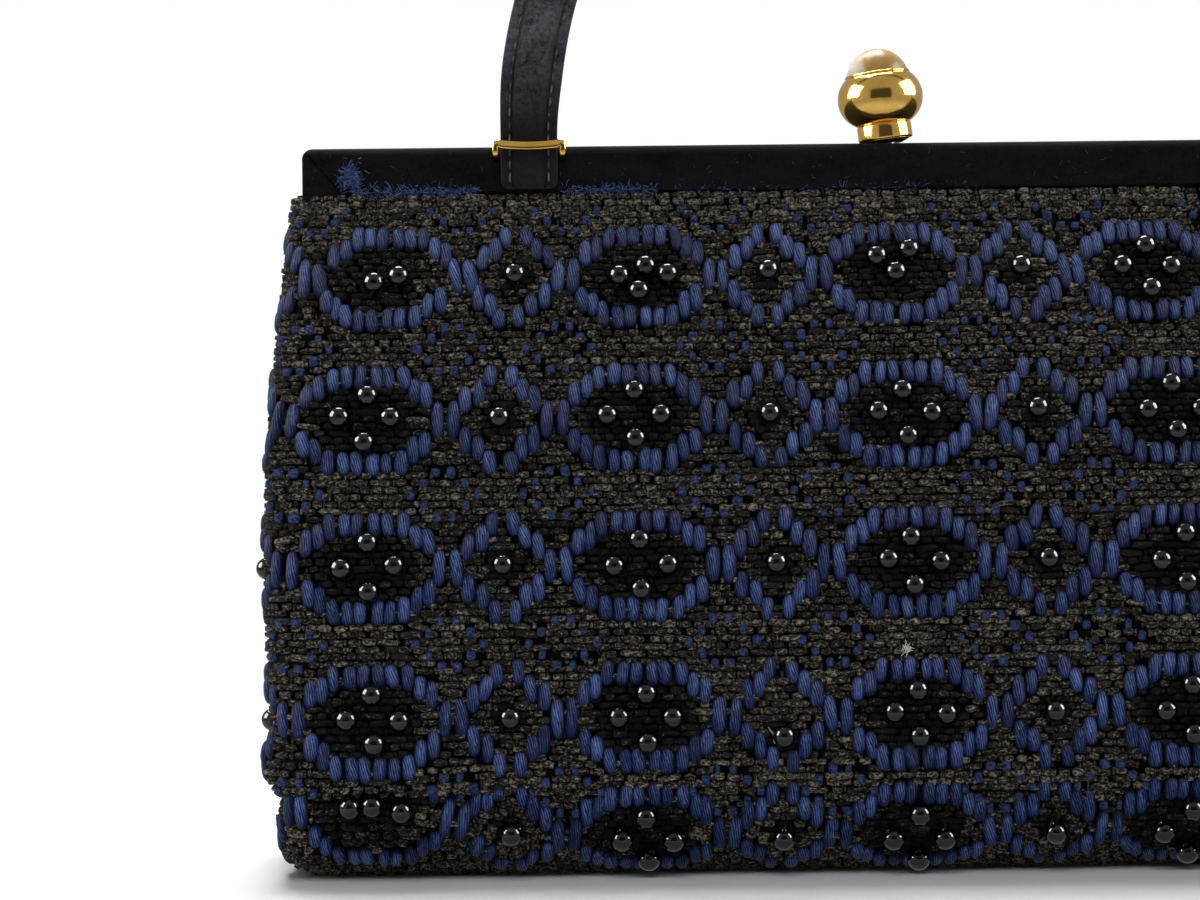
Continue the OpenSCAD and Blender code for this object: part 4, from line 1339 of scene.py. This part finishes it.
# floor, light and camera
studio = {
    "floor": 520, "floorFade": (0.05, 0.25), "floorColour": (0.94, 0.94, 0.945), "floorShade": 0.97,
    "floorGloss": 0.7, "skyLevel": 0.15, "glossLevel": 0.4, "aim": (-0.03, -0.02, 0.08),
    "sideLevel": 20.0, "sideSize": 0.7, "sidePlace": (0.95, -0.1, 0.55), "sideShift": -0.06,
    "keyLevel": 18.0, "keyPlace": (-0.1, 0.38, 0.98), "keySize": 0.6,
    "fillLevel": 3.2, "fillPlace": (-0.15, -0.72, 0.8), "fillSize": 0.7,
}


def makeFloor():
    # pale, and fading out into the white around it
    p = Paint("pale_floor")
    place = p.place()
    grain = p.noise(place, 40.0, 2.0)
    x, y = p.part(place, 0), p.part(place, 1)
    pale = studio["floorColour"]
    tone = p.mix(grain * 0.25, pale, tuple(c * studio["floorShade"] for c in pale))
    mirrored = p.add("LightPath", {}, {}, "Is Glossy Ray") * studio["floorGloss"]  # dimmer in glass and gilt
    fade = (1 - (x * x + y * y).over(*studio["floorFade"])) * (1 - mirrored)
    material = p.finish({
        "Base Color": tone, "Roughness": grain * 0.1 + 0.75, "Specular IOR Level": 0.2, "Alpha": fade,
    })
    half = studio["floor"]
    corners = [(-half, -half, 0), (half, -half, 0), (half, half, 0), (-half, half, 0)]
    floor = makePiece("floor", corners, [[0, 1, 2, 3]], material)


def makeSky():
    # white where the camera looks, dimmer in the gilt, and a low fill light
    p = Paint("studio", bpy.data.worlds)
    seen = p.add("LightPath", {}, {}, "Is Camera Ray") + p.add("LightPath", {}, {}, "Is Transmission Ray")
    gloss = p.add("LightPath", {}, {}, "Is Glossy Ray")
    fill = studio["skyLevel"]
    level = seen * (1 - fill) + gloss * (studio["glossLevel"] - fill) + fill
    sky = p.add("Background", {}, {"Color": (1, 1, 1, 1), "Strength": level})
    p.add("OutputWorld", {}, {"Surface": sky})
    bpy.context.scene.world = p.owner


def makeLight(name, place, level, size):
    data = bpy.data.lights.new(name, "AREA")
    data.energy = level
    data.size = size
    light = linked(name, data)
    light.location = place
    light.rotation_euler = (Vector(studio["aim"]) - Vector(place)).to_track_quat("-Z", "Y").to_euler()
    return light


def makeLights():
    x, y, z = studio["sidePlace"]
    for name, side in (("left_window", -1), ("right_window", 1)):
        place = (side * x + studio["sideShift"], y, z)
        light = makeLight(name, place, studio["sideLevel"], studio["sideSize"])
        light.visible_diffuse = False  # small windows, seen only as glints in glass and gilt
    makeLight("key_light", studio["keyPlace"], studio["keyLevel"], studio["keySize"])
    fill = makeLight("fill_light", studio["fillPlace"], studio["fillLevel"], studio["fillSize"])
    fill.visible_glossy = False


# focal length and picture width in pixels of the photo; the card stands behind the camera
view = {
    "place": (-75.5, -736.5, 87.4), "yaw": -0.0176, "pitch": 0.0015, "roll": -0.0123, "focal": 3422.0,
    "width": 1200.0, "sensor": 36.0, "clip": 0.01,
    "cardBehind": 0.25, "cardHalf": 540, "cardLow": 5, "cardHigh": 640,
    "cardDark": (0.01, 0.01, 0.01), "cardLight": (0.03, 0.03, 0.03),
}


def makeCamera():
    yaw, pitch, roll = view["yaw"], view["pitch"], view["roll"]
    ahead = Vector((-math.sin(yaw) * math.cos(pitch), math.cos(yaw) * math.cos(pitch), math.sin(pitch)))
    right = Vector((math.cos(yaw), math.sin(yaw), 0))
    up = right.cross(ahead)
    level = right * math.cos(roll) + up * math.sin(roll)
    upright = up * math.cos(roll) - right * math.sin(roll)
    data = bpy.data.cameras.new("photo_camera")
    data.sensor_fit = "HORIZONTAL"
    data.sensor_width = view["sensor"]
    data.lens = view["focal"] / view["width"] * data.sensor_width
    data.clip_start = view["clip"]
    camera = linked("photo_camera", data)
    turn = Matrix((level, upright, -ahead)).transposed().to_4x4()
    camera.matrix_world = Matrix.Translation(Vector(view["place"]) * mm) @ turn
    bpy.context.scene.camera = camera
    return Vector(view["place"]) * mm - ahead * view["cardBehind"]


def makeCard(place):
    # a dark camera and its stand, seen only in the gilt
    p = Paint("camera_black")
    tone = p.mix(p.noise(p.place(), 30.0), view["cardDark"], view["cardLight"])
    material = p.finish({"Base Color": tone, "Roughness": 0.8})
    x, y, z = place / mm
    left, right, low, high = x - view["cardHalf"], x + view["cardHalf"], view["cardLow"], z + view["cardHigh"]
    corners = [(left, y, low), (right, y, low), (right, y, high), (left, y, high)]
    card = makePiece("dark_card", corners, [[0, 1, 2, 3]], material)
    card.visible_camera = False
    card.visible_diffuse = False
    card.visible_shadow = False


makeFloor()
makeSky()
makeLights()
makeCard(makeCamera())
bpy.context.scene.view_settings.view_transform = "Standard"
print("stage made")
